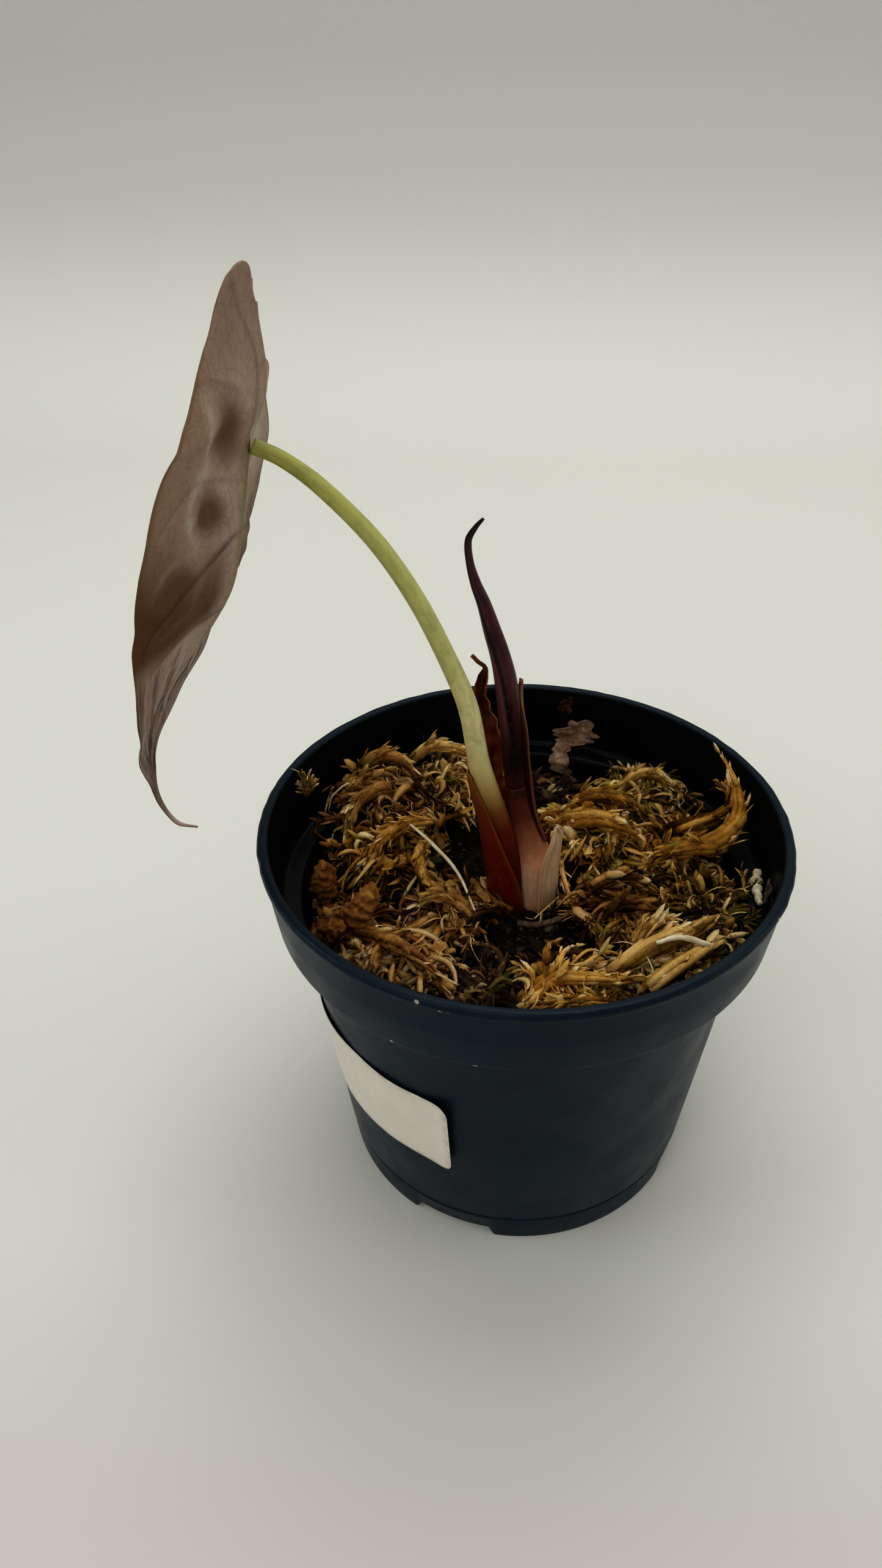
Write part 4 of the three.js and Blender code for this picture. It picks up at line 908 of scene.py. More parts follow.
vein_mask = np.zeros_like(relief)
vein_ridge = np.zeros_like(relief)
quilt = np.ones_like(relief)
for k, line in enumerate(SIDE_VEINS):
    gap, share = distance_to(flat, line)
    strength = VEIN_STRENGTHS[k] * (1 - 0.25 * share) * step_smoothly(share, -0.08, 0.14)
    vein_mask = np.maximum(vein_mask, strength * bell(gap, 0.7 - 0.25 * share))
    vein_ridge = np.maximum(vein_ridge, strength * bell(gap, 0.75))
    quilt *= 1 - bell(gap, 3.2)
quilt *= 1 - bell(leaf_across, 2.5)
flat_place = on_plane(leaf_along, leaf_across)
calm = step_smoothly(leaf_width, 2, 12) * (1 - np.abs(s) ** 6)
relief += calm * (0.3 * quilt + 0.10 * lumps(flat_place, 5, 51) * quilt - 0.30 * vein_ridge)
# Folds that run along the blade below the crease and gather towards the tip
gather = step_smoothly(leaf_along, 38, 52) * step_smoothly(leaf_width, 1, 6)
folds = np.sin(s * 13 + 0.02 * leaf_along + 0.9 * lumps(flat_place * [0.15, 1, 1], 14, 52))
relief += gather * 0.32 * folds * (1 - np.abs(s) ** 4)

MIDRIB_RIDGE, RIDGE_START, RIDGE_END = 0.9, 2, 80
ridge_share = step_smoothly(leaf_along, -3, RIDGE_START) * np.clip(1 - leaf_along / RIDGE_END, 0, 1)
ridge = MIDRIB_RIDGE * ridge_share * bell(leaf_across, 1.1)
leaf_grid = blade_place(leaf_along, leaf_across, relief)
# The near lobe's tip hooks over the far one
hook = step_smoothly(-leaf_along, 22, LOBE_LENGTH) * np.where(near, 1.0, 0.3)
leaf_grid += hook[..., None] * np.array([2.1, 0, 1.4])
trim = np.where(near, smooth(NEAR_TRIM, leaf_along), smooth(FAR_TRIM, leaf_along)) * s**2
leaf_grid[..., 0] += trim
points, faces = thin_sheet(leaf_grid, EDGE_THICKNESS + MIDDLE_SWELL * (1 - np.abs(s) ** 4))
top_side, low_side = points.reshape(2, *leaf_grid.shape)
first_is_under = (top_side - low_side)[LEAF_ROWS // 2, LEAF_COLUMNS // 2, 0] > 0
under_side = top_side if first_is_under else low_side
under_side += unit(under_side - (low_side if first_is_under else top_side)) * ridge[..., None]
points = np.concatenate([top_side.reshape(-1, 3), low_side.reshape(-1, 3)])

# %% [markdown]
# Masks for the colour come from the same flat coordinates. The hollows get painted shade, a dark oval each,
# with a painted highlight in a ring round it where the rim catches the light. Above the crease the blade is
# deep brown, its own colour deepened with painted shade, and below it the blade folds and turns pinkish grey,
# partly with painted light where the fold faces the light.

# %% Leaf masks
# Painted shade in the hollows, as dark ovals: centre, and the two half axes, along and across
OVALS = [((-5.6, 9.8), (10.2, -4.4), (-2.6, 7.6)), ((10.7, 10), (6.6, -1.2), (-2.5, 7.2)),
         ((22.5, 19), (4.5, 0.5), (0, 6))]
CREASE = [(0.9, 34.4), (3, 36.3), (8.4, 36.9), (12.3, 38.9), (15.4, 41), (22.4, 42.5), (32, 44)]
hollow_shade_mask = np.zeros_like(relief)
rim_highlight_mask = np.zeros_like(relief)
for (a, b), first_axis, second_axis in OVALS:
    offset = np.stack([leaf_along - a, np.abs(leaf_across) - b], -1)
    parts = offset @ np.linalg.inv(np.array([first_axis, second_axis]))
    out = np.linalg.norm(parts, axis=-1)
    hollow_shade_mask = np.maximum(hollow_shade_mask, 1 - step_smoothly(out, 0.3, 1.05))
    # A pale ring round each oval is a painted highlight on the hollow's rim
    rim_highlight_mask = np.maximum(rim_highlight_mask, bell(out - 1.22, 0.2) * (
        0.3 + 0.7 * step_smoothly(offset[..., 1], -1, 4)) * step_smoothly(leaf_along, -21, -10))
crease_at = smooth(CREASE, np.abs(leaf_across))
above_crease = 1 - step_smoothly(leaf_along - crease_at, -3.5, 3.5)
# Painted shade above the crease, laid with the blade's own deep brown
brown_and_shade_mask = step_smoothly(leaf_along + 9 * np.abs(s), 14, 36) * above_crease
brown_and_shade_mask = brown_and_shade_mask * step_smoothly(np.abs(s), 0.0, 0.2)
outer_mask = step_smoothly(np.abs(s), 0.35, 1.0) * step_smoothly(leaf_along, -34, -12) * above_crease
tail_mask = step_smoothly(leaf_along, 74, 86) * (1 - step_smoothly(leaf_along, 93, 99))
pale_mask = bell(np.abs(leaf_across), 6.5) * step_smoothly(leaf_along, 0, 8) * above_crease
# Below the crease the fold faces the light: its pale tint is partly painted light
lit_fold_mask = (1 - above_crease) * (1 - tail_mask)
low_mask = lit_fold_mask * step_smoothly(np.abs(s), 0.25, 0.8)
leaf_masks = {
    "vein": vein_mask, "oval": hollow_shade_mask, "ring": rim_highlight_mask, "brown": brown_and_shade_mask, "outer": outer_mask,
    "tail": tail_mask, "low": low_mask, "gather": gather, "pale": np.maximum(pale_mask, lit_fold_mask),
    "ridge": ridge_share * bell(leaf_across, 0.8), "far": np.where(near, 0.0, 1.0),
    "lobe": step_smoothly(-leaf_along, 10, 24), "margin": step_smoothly(np.abs(s), 0.93, 1.0)}
leaf_values = {name: np.tile(mask.ravel(), 2) for name, mask in leaf_masks.items()}
leaf_uv = np.stack([s * 0.5 + 0.5, leaf_along], -1).reshape(-1, 2)
print("masks on the leaf:", ", ".join(leaf_masks))

# %% [markdown]
# The underside is a mauve grey. Its felt of tiny veins is a net of cells in the colour and, with fine noise,
# in the bump. Each mask lays its own colour over the ground; the ovals are painted shade, the rings a painted
# highlight, and the brown and the pale fold partly painted shade and light. The upper side is never seen in
# the front view: it is the variegated one, deep green splashed with yellow, with pale veins.

# %% Leaf finish
leaf_under, tree, shader = new_material("leaf_underside", Roughness=0.5, Specular_IOR_Level=0.14)
place = millimetres(tree)
base = clouded(place, 0.12, 0.5, (0.540, 0.415, 0.335), (0.400, 0.290, 0.220))
speckle = remap(noise(place, 2.2, 3.0, 0.7), 0.52, 0.68)
brown = mix(times(speckle, 0.5), (0.150, 0.068, 0.026), (0.270, 0.145, 0.072))
# Among these rows the oval is painted shade, the ring a painted highlight, and the brown and the pale partly
# painted shade and light
colour = tint_by(base["Colour"], [
    ("far", 0.6, (0.62, 0.510, 0.440)), ("lobe", 0.45, (0.285, 0.195, 0.150)),
    ("outer", 0.5, (0.290, 0.170, 0.080)), ("ring", 0.7, (0.600, 0.520, 0.420)),
    ("pale", 0.55, (0.670, 0.540, 0.465)), ("brown", 0.92, brown), ("oval", 0.88, (0.185, 0.105, 0.064)),
    ("low", 0.4, (0.300, 0.190, 0.130)), ("tail", 0.6, (0.210, 0.125, 0.062))])
squeezed = add_node(tree, "Mapping", {"Vector": place, "Scale": (1, 1, 0.6)}).outputs[0]
net = add_node(tree, "TexVoronoi", {"Vector": squeezed, "Scale": 0.5}, feature="DISTANCE_TO_EDGE").outputs[0]
net_line = calc("SUBTRACT", 1.0, remap(net, 0.0, 0.08))
colour = tint(colour, net_line, 0.2, (0.150, 0.085, 0.050))
colour = tint_by(colour, [("vein", 0.75, (0.105, 0.055, 0.034))])
gathered = times(fibred(tree, 30, 0.025)["Mask"], attribute(tree, "gather"))
colour = tint(colour, gathered, 0.95, (0.115, 0.062, 0.040))
colour = tint_by(colour, [("ridge", 1.0, (0.34, 0.32, 0.15)), ("margin", 0.45, (0.150, 0.100, 0.035))])
felt = plus(times(net_line, 0.5), noise(place, 3.0, 4.0, 0.65))
lay(shader, colour, felt, 0.12, 0.6)

leaf_upper, tree, shader = new_material("leaf_upper", Roughness=0.32, Specular_IOR_Level=0.5)
place = millimetres(tree)
marble = noise(place, 0.075, 5.0, 0.62, 0.6)
green = clouded(place, 0.3, 0.6, (0.055, 0.115, 0.045), (0.018, 0.050, 0.025))
yellow = clouded(place, 0.3, 0.5, (0.62, 0.56, 0.13), (0.34, 0.40, 0.08))
colour = mix(remap(marble, 0.52, 0.57), green["Colour"], yellow["Colour"])
colour = tint_by(colour, [
    ("vein", 0.85, (0.50, 0.56, 0.36)), ("ridge", 1.0, (0.52, 0.58, 0.38)),
    ("margin", 0.7, (0.25, 0.30, 0.12))])
lay(shader, colour, noise(place, 1.2, 4.0, 0.6), 0.2, 0.5)

first, second = (0, 1) if first_is_under else (1, 0)
which = np.repeat([first, second, 0], [len(block) for block in faces])
add_piece("hanging_leaf", points, faces, [leaf_under, leaf_upper], "leaf", ["leaf_blade"],
          uv=np.concatenate([leaf_uv, leaf_uv]), values=leaf_values, which=which)

# %% [markdown]
# ## The petiole
# The petiole is a smooth round stalk that carries the leaf out in an arch. A ring carried along a path makes
# it. It is thick at its foot and thin where it meets the blade. Its colour is pale yellow green with short
# darker streaks, and it turns cream, amber and at last dark red towards the foot.

# %% Petiole
PETIOLE = [
    (-2.6, 0, 64, 3.5), (-2.8, 0, 70, 3.7), (-3.3, -0.3, 80, 4), (-4.6, -0.3, 88, 3.8), (-6.3, 0, 95.4, 3.2),
    (-8.1, 0, 102.2, 2.8), (-10.1, 0, 110.9, 2.4), (-12.5, 0, 124.8, 2.2), (-17.1, 0, 137.2, 2.0),
    (-23.1, 0, 150.2, 1.9), (-30.6, 0, 162, 1.8), (-40.1, 0, 172.3, 1.65), (-47, 0, 177.6, 1.5),
    (-52.3, 0, 180, 1.5),
]
PETIOLE_ROWS, PETIOLE_COLUMNS = 260, 48


def add_stalk(name, stations, rows, columns, shape, material, slot, node, values=None):
    """A closed stalk along its stations as one piece, with its own UV map."""
    rings, length = stalk_rings(stations, rows, columns, shape)
    add_piece(name, *rings_with_ends(rings), [material], slot, [node],
              uv=grid_uv(rows, columns, length, around=True), values=values)


petiole_finish, tree, shader = new_material(
    "petiole", (1.0, 0.7, 0.3), Roughness=0.38, Specular_IOR_Level=0.3, Subsurface_Weight=0.12,
    Subsurface_Scale=0.003)
ground = colour_by_height(tree, [
    (66, (0.12, 0.010, 0.003)), (94, (0.15, 0.025, 0.008)), (99, (0.26, 0.110, 0.030)),
    (104, (0.50, 0.36, 0.14)), (110, (0.74, 0.64, 0.32)), (120, (0.86, 0.80, 0.45)),
    (138, (0.60, 0.59, 0.26)), (185, (0.46, 0.46, 0.14))])
blots = noise(surface(tree, (2.6, 0.16, 1)), 1.0, 3.0, 0.55)
dark = fibred(tree, 9, 0.22)
green_part = remap(parts_of(millimetres(tree))[2], 104, 122, 0.0, 0.5)
colour = tint(ground, remap(blots, 0.5, 0.72), green_part, (0.26, 0.29, 0.07))
colour = tint(colour, dark["Mask"], times(green_part, 0.45), (0.19, 0.21, 0.05))
lay(shader, colour, dark["Height"], 0.08, 0.5)
add_stalk("petiole_stalk", PETIOLE, PETIOLE_ROWS, PETIOLE_COLUMNS,
          lambda share, turn: 1 + 0.012 * np.sin(9 * turn + 2 * share), petiole_finish, "petiole", "petiole")

# %% [markdown]
# ## The stem foot and the rolled leaf
# The foot is the swollen base from which every leaf comes, pink and cream where it was never in the light.
# The new leaf stands on it, wound up like a scroll: its skin is a ring with one step in it, the free edge,
# that runs up the leaf in a long spiral.

# %% Stem foot and rolled leaf
STEM_FOOT = [
    (2.8, 1.5, 62, 3.6), (2.8, 1.5, 68, 4.4), (2.9, 1.6, 75, 4.9), (2.6, 1.8, 82, 4.9), (0.6, 2.2, 88.5, 3.9),
    (-0.5, 2.8, 93, 3.2), (-1.5, 3.2, 98, 2.75), (-1.9, 3.5, 102.4, 2.42),
]
NEW_LEAF = [
    (-1.9, 3.6, 103, 2.4), (-2.3, 3.8, 108, 2.4), (-3.1, 4, 116, 2.4), (-4.4, 4, 128.3, 2.4),
    (-5.8, 4, 135, 2.1), (-7.7, 4, 141.3, 1.8), (-9.4, 4, 147, 1.4), (-11, 4, 151.2, 1.1),
    (-12.2, 4, 155.8, 0.8), (-12.5, 4, 160.4, 0.7), (-11.1, 4, 163.2, 0.5), (-9.6, 4, 165, 0.3),
]
foot_finish, tree, shader = new_material(
    "stem_foot", (1.0, 0.45, 0.25), Roughness=0.42, Specular_IOR_Level=0.25, Subsurface_Weight=0.25,
    Subsurface_Scale=0.004)
place = millimetres(tree)
ground = colour_by_height(tree, [
    (68, (0.10, 0.025, 0.010)), (72, (0.72, 0.430, 0.270)), (78, (0.86, 0.610, 0.440)),
    (84, (0.78, 0.470, 0.285)), (90, (0.35, 0.155, 0.075)), (95, (0.13, 0.040, 0.022)),
    (101, (0.060, 0.018, 0.010))])
parts = parts_of(place)
leftward = times(remap(parts[0], 1.2, -2.6), remap(parts[2], 96, 88))
colour = tint(ground, leftward, 0.85, (0.16, 0.014, 0.005))
flush = noise(place, 0.14, 4.0, 0.6)
colour = tint(colour, remap(flush, 0.45, 0.7), 0.4, (0.26, 0.060, 0.025))
grain = fibred(tree, 14, 0.1)
colour = tint(colour, grain["Mask"], 0.2, (0.20, 0.05, 0.025))
lay(shader, colour, grain["Height"], 0.12, 0.5)
FOOT_ROWS, FOOT_COLUMNS = 90, 72
add_stalk("foot_of_stem", STEM_FOOT, FOOT_ROWS, FOOT_COLUMNS,
          lambda share, turn: 1 + 0.03 * np.sin(3 * turn + 6 * share) + 0.015 * np.sin(7 * turn),
          foot_finish, "stem_foot", "stem_foot")

roll_finish, tree, shader = new_material("rolled_leaf", Roughness=0.3, Specular_IOR_Level=0.4,
                                         Coat_Weight=0.1, Coat_Roughness=0.25)
place = millimetres(tree)
height = parts_of(place)[2]
maroon = clouded(place, 0.2, 0.6, (0.090, 0.0120, 0.0180), (0.030, 0.0035, 0.0060))
bloom = fibred(tree, 16, 0.06)
colour = tint(maroon["Colour"], bloom["Mask"], 0.45, (0.140, 0.050, 0.062))
# Painted light and shade: the flap beside the free edge is lit paler, and a near-black line of shade runs
# along the edge's step
colour = tint_by(colour, [("flap_highlight", 0.45, (0.210, 0.090, 0.110)), ("edge", 1.0, (0.004, 0.001, 0.001))])
colour = mix(remap(height, 122, 110, 0.0, 0.9), colour, (0.008, 0.0015, 0.0015))
colour = mix(remap(height, 109, 104), colour, (0.060, 0.018, 0.010))
colour = mix(remap(height, 152, 165), colour, (0.016, 0.011, 0.005))
lay(shader, colour, bloom["Height"], 0.15, 0.6)
ROLL_ROWS, ROLL_COLUMNS = 200, 72


def from_edge(share, turn):
    """Share of a turn past the free edge, which creeps round by a quarter of a turn on its way up."""
    return (turn - 4.3 - 1.6 * share) / (2 * np.pi) % 1


def scroll(share, turn):
    """A ring with one step of a fifth in it, the free edge."""
    return 1 + 0.2 * (0.5 - from_edge(share, turn)) + 0.02 * np.sin(5 * turn + 8 * share)


share, turn = grid_of(np.linspace(0, 1, ROLL_ROWS), round_turns(ROLL_COLUMNS))
past = from_edge(share, turn).ravel()
# Masks for the painted shade along the free edge and the painted highlight on the flap beside it
roll_values = {"edge": np.append(1 - step_smoothly(np.minimum(past, 1 - past), 0.01, 0.04), [0, 0]),
               "flap_highlight": np.append(1 - step_smoothly(past, 0.03, 0.3), [0, 0])}
add_stalk("rolled_leaf", NEW_LEAF, ROLL_ROWS, ROLL_COLUMNS, scroll, roll_finish, "new_leaf", "new_leaf",
          roll_values)

# %% [markdown]
# ## Sheaths
# Each leaf of this plant comes out of the sheath of the one before. A sheath is a band that wraps part of the
# way round a leaning line: level arcs from a first to a last angle, whose ends wander with height, so its
# margins are slanting. They are ribbed along their length, dry out from the margin inwards, and turn glassy.

# %% Sheath shapes
RED_SHEATH = [
    (-2.7, 0, 66, 4.5, 120, 330), (-3, -0.1, 74, 4.6, 120, 318), (-3.5, -0.3, 81, 4.75, 122, 302),
    (-4.6, -0.3, 88, 4.5, 125, 285), (-6.3, 0, 95.4, 3.95, 130, 270), (-8.1, 0, 102.2, 3.5, 140, 255),
    (-9.4, 0, 108.2, 3.15, 165, 225),
]
SCALE_LEAF = [
    (2.8, 1.5, 70, 5.2, -75, 20), (2.9, 1.6, 76, 5.7, -78, 24), (2.7, 1.7, 82, 5.9, -74, 22),
    (2.3, 1.8, 87, 6.4, -66, 14), (2.1, 1.8, 91.5, 6.9, -54, 0), (1.9, 1.8, 94.8, 6.8, -42, -26),
]
BUD_SHEATH = [
    (0.6, 2.4, 88.5, 4.8, -20, 120), (-0.5, 2.9, 93, 4.1, -20, 125), (-1.6, 3.4, 99, 3.8, -15, 130),
    (-2.1, 3.8, 107, 3.3, -8, 120), (-3.1, 4, 116, 3.25, 0, 95), (-3.9, 4, 123, 3.2, 8, 60),
    (-4.3, 4.2, 128.6, 3.2, 14, 34),
]
DRY_SHEATH = [
    (-2.6, 8.6, 72, 2.4), (-3.4, 8.6, 80, 2.6), (-5, 8.6, 88, 2.7), (-6.8, 8.8, 96, 2.7), (-7.4, 9, 104, 2.6),
    (-7.2, 9.2, 110, 2.5), (-8.8, 9.6, 116, 1.8), (-10.4, 10, 121, 1.5), (-9.9, 10, 126, 0.9),
    (-9.3, 10, 128.8, 0.5), (-10.8, 10, 130.2, 0.45), (-12.2, 10, 131.6, 0.4),
]
WRAP_ROWS, WRAP_COLUMNS, SHEATH_THICKNESS, DRY_THICKNESS = 90, 60, 0.45, 0.35


def wrap_grid(stations, ripple, seed):
    """Level arcs round a leaning line: centre + radius * (cos, sin) of an angle between the first and the
    last."""
    up = np.linspace(0, 1, WRAP_ROWS)
    centre, (radius, first, last), length = follow(stations, up)
    across = np.linspace(0, 1, WRAP_COLUMNS)
    angle = np.radians(first[:, None] + (last - first)[:, None] * across)
    place = on_plane(across * 9, up[:, None] * length * 0.25)
    reach = radius[:, None] + ripple * lumps(place, 3, seed) + 0.3 * ripple * np.sin(across * 60)
    return centre[:, None] + polar(reach, angle, 0), length


def sheath_finish(name, stops, edge_tone, roughness, glow):
    """A ribbed sheath: a scale of colours up its height, darker ribs, a tone at the margins, and some
    glow."""
    material, tree, shader = new_material(
        name, (1.0, 0.35, 0.15), Roughness=roughness, Specular_IOR_Level=0.25, Subsurface_Weight=glow,
        Subsurface_Scale=0.003)
    colour = colour_by_height(tree, stops)
    ribs = fibred(tree, 26, 0.05)
    colour = tint(colour, ribs["Mask"], 0.35, tuple(0.35 * c for c in stops[0][1]))
    clouds = remap(noise(millimetres(tree), 0.3, 4.0, 0.65), 0.5, 0.72)
    colour = tint(colour, clouds, 0.35, edge_tone)
    colour = tint_by(colour, [("margin", 0.6, edge_tone)])
    lay(shader, colour, ribs["Height"], 0.25, 0.7)
    return material


def margin_values():
    """How close a point of a sheath's grid is to its two long margins and its top."""
    across = np.linspace(0, 1, WRAP_COLUMNS)[None]
    up = np.linspace(0, 1, WRAP_ROWS)[:, None]
    near = np.maximum(1 - step_smoothly(np.minimum(across, 1 - across), 0, 0.1), step_smoothly(up, 0.9, 1))
    return np.tile(near.ravel(), 2)


red_finish = sheath_finish("red_sheath", [
    (68, (0.10, 0.010, 0.003)), (76, (0.23, 0.018, 0.005)), (88, (0.20, 0.016, 0.005)),
    (98, (0.22, 0.045, 0.018)), (108, (0.34, 0.17, 0.065))], (0.32, 0.110, 0.014), 0.38, 0.1)
scale_finish = sheath_finish("scale_leaf", [
    (70, (0.55, 0.310, 0.160)), (80, (0.90, 0.660, 0.450)), (90, (0.90, 0.690, 0.500)),
    (95, (0.87, 0.66, 0.47))], (0.72, 0.46, 0.27), 0.3, 0.3)
bud_finish = sheath_finish("bud_sheath", [
    (88, (0.12, 0.020, 0.014)), (100, (0.15, 0.040, 0.038)), (115, (0.24, 0.110, 0.085)),
    (123, (0.62, 0.44, 0.24)), (129, (0.40, 0.230, 0.080))], (0.24, 0.11, 0.07), 0.42, 0.1)
dry_finish = sheath_finish("dry_sheath", [
    (72, (0.20, 0.040, 0.010)), (92, (0.30, 0.085, 0.016)), (105, (0.25, 0.075, 0.018)),
    (118, (0.10, 0.035, 0.014)), (132, (0.035, 0.018, 0.012))], (0.42, 0.19, 0.05), 0.45, 0.1)

for name, stations, ripple, seed, material, slot, node in (
        ("sheath_red", RED_SHEATH, 0.06, 61, red_finish, "red_sheath", "red_sheath"),
        ("sheath_scale", SCALE_LEAF, 0.16, 62, scale_finish, "pale_sheath", "scale_leaf"),
        ("sheath_of_bud", BUD_SHEATH, 0.10, 63, bud_finish, "pale_sheath", "bud_sheath")):
    grid, length = wrap_grid(stations, ripple, seed)
    add_piece(name, *thin_sheet(grid, SHEATH_THICKNESS), [material], slot, [node],
              uv=grid_uv(WRAP_ROWS, WRAP_COLUMNS, length),
              values={"margin": margin_values()})

# %% [markdown]
# The oldest sheath has dried to a crumpled brown strip behind the petiole, and its top has curled over. It
# faces us, so it is a strip: points up its middle, a half width, and folds that push it to and fro.

# %% Dry sheath
up = np.linspace(0, 1, WRAP_ROWS)
centre, (strip_width,), length = follow(DRY_SHEATH, up)
strip_width = strip_width[:, None]
tangent = unit(np.gradient(centre, axis=0))
sideways = unit(np.stack([tangent[:, 2], 0 * up, -tangent[:, 0]], -1))
across = np.linspace(-1, 1, WRAP_COLUMNS)[None]
station = up[:, None] * (len(DRY_SHEATH) - 1)
fold = (0.25 * strip_width * np.sin(station * 2.3 + across * 2.1) - 0.3 * strip_width * across**2
        + 0.35 * lumps(on_plane(across * 3, station * 4), 2.2, 64) * np.minimum(strip_width, 1))
ragged = 1 + 0.12 * lumps(on_plane(up * length), 3, 65)[:, None]
strip = (centre[:, None] + (across * strip_width * ragged)[..., None] * sideways[:, None]
         + fold[..., None] * np.array([0, 1, 0]))
add_piece("sheath_dry", *thin_sheet(strip, DRY_THICKNESS), [dry_finish], "dry_leaf", ["dry_sheath"],
          uv=grid_uv(WRAP_ROWS, WRAP_COLUMNS, length), values={"margin": margin_values()})

# %% [markdown]
# ## Root stub, straws and scraps
# Small things tell that this is a real pot of old moss. A cut root with a hollow end lies at the foot, pale
# straws lie on the moss, and bits of dry leaf stick to the wall.

# %% Root stub
ROOT_ROWS, ROOT_COLUMNS = 90, 28
ROOT_STUB = [
    (-0.3, -6.6, 69.6, 0.85), (3.6, -7.6, 70.2, 0.75), (8, -7.4, 71.6, 0.7), (12, -5.6, 73, 0.65),
    (16, -2.6, 73.4, 0.5),
]


def plant_finish(name, light, dark, size, roughness, depth):
    """Plain dead tissue: two tones, and the grain as bump."""
    material, tree, shader = new_material(name, Roughness=roughness, Specular_IOR_Level=0.35)
    clouds = clouded(millimetres(tree), size, 0.7, light, dark)
    lay(shader, clouds["Colour"], clouds["Height"], depth, 0.8)
    return material


def root_folds(share, turn):
    """Close rings along the root, and five soft edges down it."""
    return 1 + 0.05 * np.sin(60 * share + turn) + 0.05 * np.sin(5 * turn)


root_finish = plant_finish("root", (0.24, 0.17, 0.11), (0.07, 0.045, 0.03), 0.8, 0.7, 0.3)
rings, _ = stalk_rings(ROOT_STUB, ROOT_ROWS, ROOT_COLUMNS, root_folds, reference=(0, 0, 1))
first_rings = rings[5::-1]
inner = 0.5 * (first_rings + first_rings.mean(1, keepdims=True))
add_piece("root_end", *rings_with_ends(np.concatenate([inner, rings])), [root_finish], "root", ["root_stub"])

# %% Straws and the pale curl
STRAW_ROWS, STRAW_COLUMNS = 80, 20
STRAWS = {
    "straw_left": [(-27, 7, 87.5, 0.3), (-21, 1.5, 86, 0.42), (-14.6, -6, 84, 0.36), (-10, -15.5, 81, 0.25)],
    "straw_right": [(28.4, -29.6, 87, 0.5), (33.4, -28.4, 87.8, 0.62), (39.4, -29, 86.6, 0.55)],
    "pale_curl": [(54.1, 0, 83.4, 0.6), (53.7, -1.5, 81.8, 1.1), (53.6, -4.5, 80.7, 0.9),
                  (53.7, -8.6, 80.2, 0.6)],
}
straw_finish = plant_finish("straw", (0.80, 0.74, 0.56), (0.55, 0.46, 0.28), 0.5, 0.5, 0.15)
for name, stations in STRAWS.items():
    knobs = 0.3 if name == "pale_curl" else 0.04
    rings, _ = stalk_rings(
        stations, STRAW_ROWS, STRAW_COLUMNS, reference=(0, 0, 1), shape=lambda share, turn: (
            1 + knobs * np.sin(26 * share + 2 * np.sin(turn)) + 0.08 * np.sin(2 * turn + 5 * share)))
    add_piece(name + "_fine", *rings_with_ends(rings), [straw_finish], "straw", [name])

# %% Scraps on the wall
ROWS_PER_STATION, SCRAP_COLUMNS, SCRAP_THICKNESS = 11, 30, 0.3
SCRAPS = {
    "wall_flake": [
        (88.2, 74.5, 2.6, 55.9), (86, 75, 4.2, 55.7), (84, 76.3, 5.4, 55.5), (82, 76.5, 4.6, 55.3),
        (80.7, 78.6, 2.8, 54.4), (80, 79.2, 2.4, 52.9), (79.6, 79.4, 2.6, 51.2), (77.6, 79.3, 2.9, 50),
        (75.6, 78.2, 2.4, 49.8), (74.2, 76, 1.1, 49.6), (72.6, 73.6, 0.7, 49.4)],
    "wall_scrap": [(94.6, 78.5, 1, 55.8), (92.4, 79.5, 1.9, 55.6), (90.6, 79, 0.9, 55.5)],
    "brown_scrap": [(87.6, -10.5, 2, 55.8), (85, -10, 2.4, 55.6), (82.4, -9, 1.6, 55.3)],
}
scrap_finishes = {
    "wall_flake": plant_finish("wall_flake", (0.47, 0.330, 0.230), (0.11, 0.055, 0.028), 0.3, 0.6, 0.2),
    "wall_scrap": plant_finish("wall_scrap", (0.09, 0.03, 0.02), (0.03, 0.01, 0.008), 0.5, 0.5, 0.2),
    "brown_scrap": plant_finish("brown_scrap", (0.13, 0.11, 0.08), (0.04, 0.03, 0.02), 0.5, 0.6, 0.2),
}
for name, stations in SCRAPS.items():
    rows, columns = ROWS_PER_STATION * len(stations), SCRAP_COLUMNS
    place = np.linspace(0, len(stations) - 1, rows)
    z, angle, width, out = smooth(list(enumerate(stations)), place).T[..., None]
    across = np.linspace(-1, 1, columns)[None]
    i = place[:, None]
    ragged = 1 + 0.17 * lumps(on_plane(place * 3), 2.6, 66)[:, None]
    turn = np.radians(angle) - across * width * ragged / out
    out = out - 0.3 + 0.2 * np.sin(i * 1.2 + across * 2.4)
    out = out + 0.12 * lumps(on_plane(across * width, 2 * i), 2.6, 67)
    grid = polar(out, turn, z + 0.5 * np.sin(i + 3 * across))
    add_piece(name + "_fine", *thin_sheet(grid, SCRAP_THICKNESS), [scrap_finishes[name]], "dry_leaf", [name])

# %% [markdown]
# ## Moss
# Dried bog moss is made of long strands, each plaited from hundreds of small pointed leaves that lie close
# along it, overlap like tiles and lift at their tips. So a strand is a thin core with leaflets set round it
# in a spiral. One leaflet is a closed shallow channel of ten points, pointed at both ends. All strands of a
# clump are worked out at once, as arrays of strand by step by coordinate.

# %% Strands
LEAFLET_QUADS = np.array([[1, 2, 6, 5], [2, 3, 7, 6], [3, 4, 8, 7], [4, 1, 5, 8]])
LEAFLET_ENDS = np.array([[0, 2, 1], [0, 3, 2], [0, 4, 3], [0, 1, 4], [9, 5, 6], [9, 6, 7], [9, 7, 8],
                         [9, 8, 5]])
LEAFLET_TIPS = [0, 0.45, 0.1, 0.45, 0.3, 0.9, 0.45, 0.9, 0.6, 1.0]
GOLDEN_TURN = 2.39996
STEPS = 11


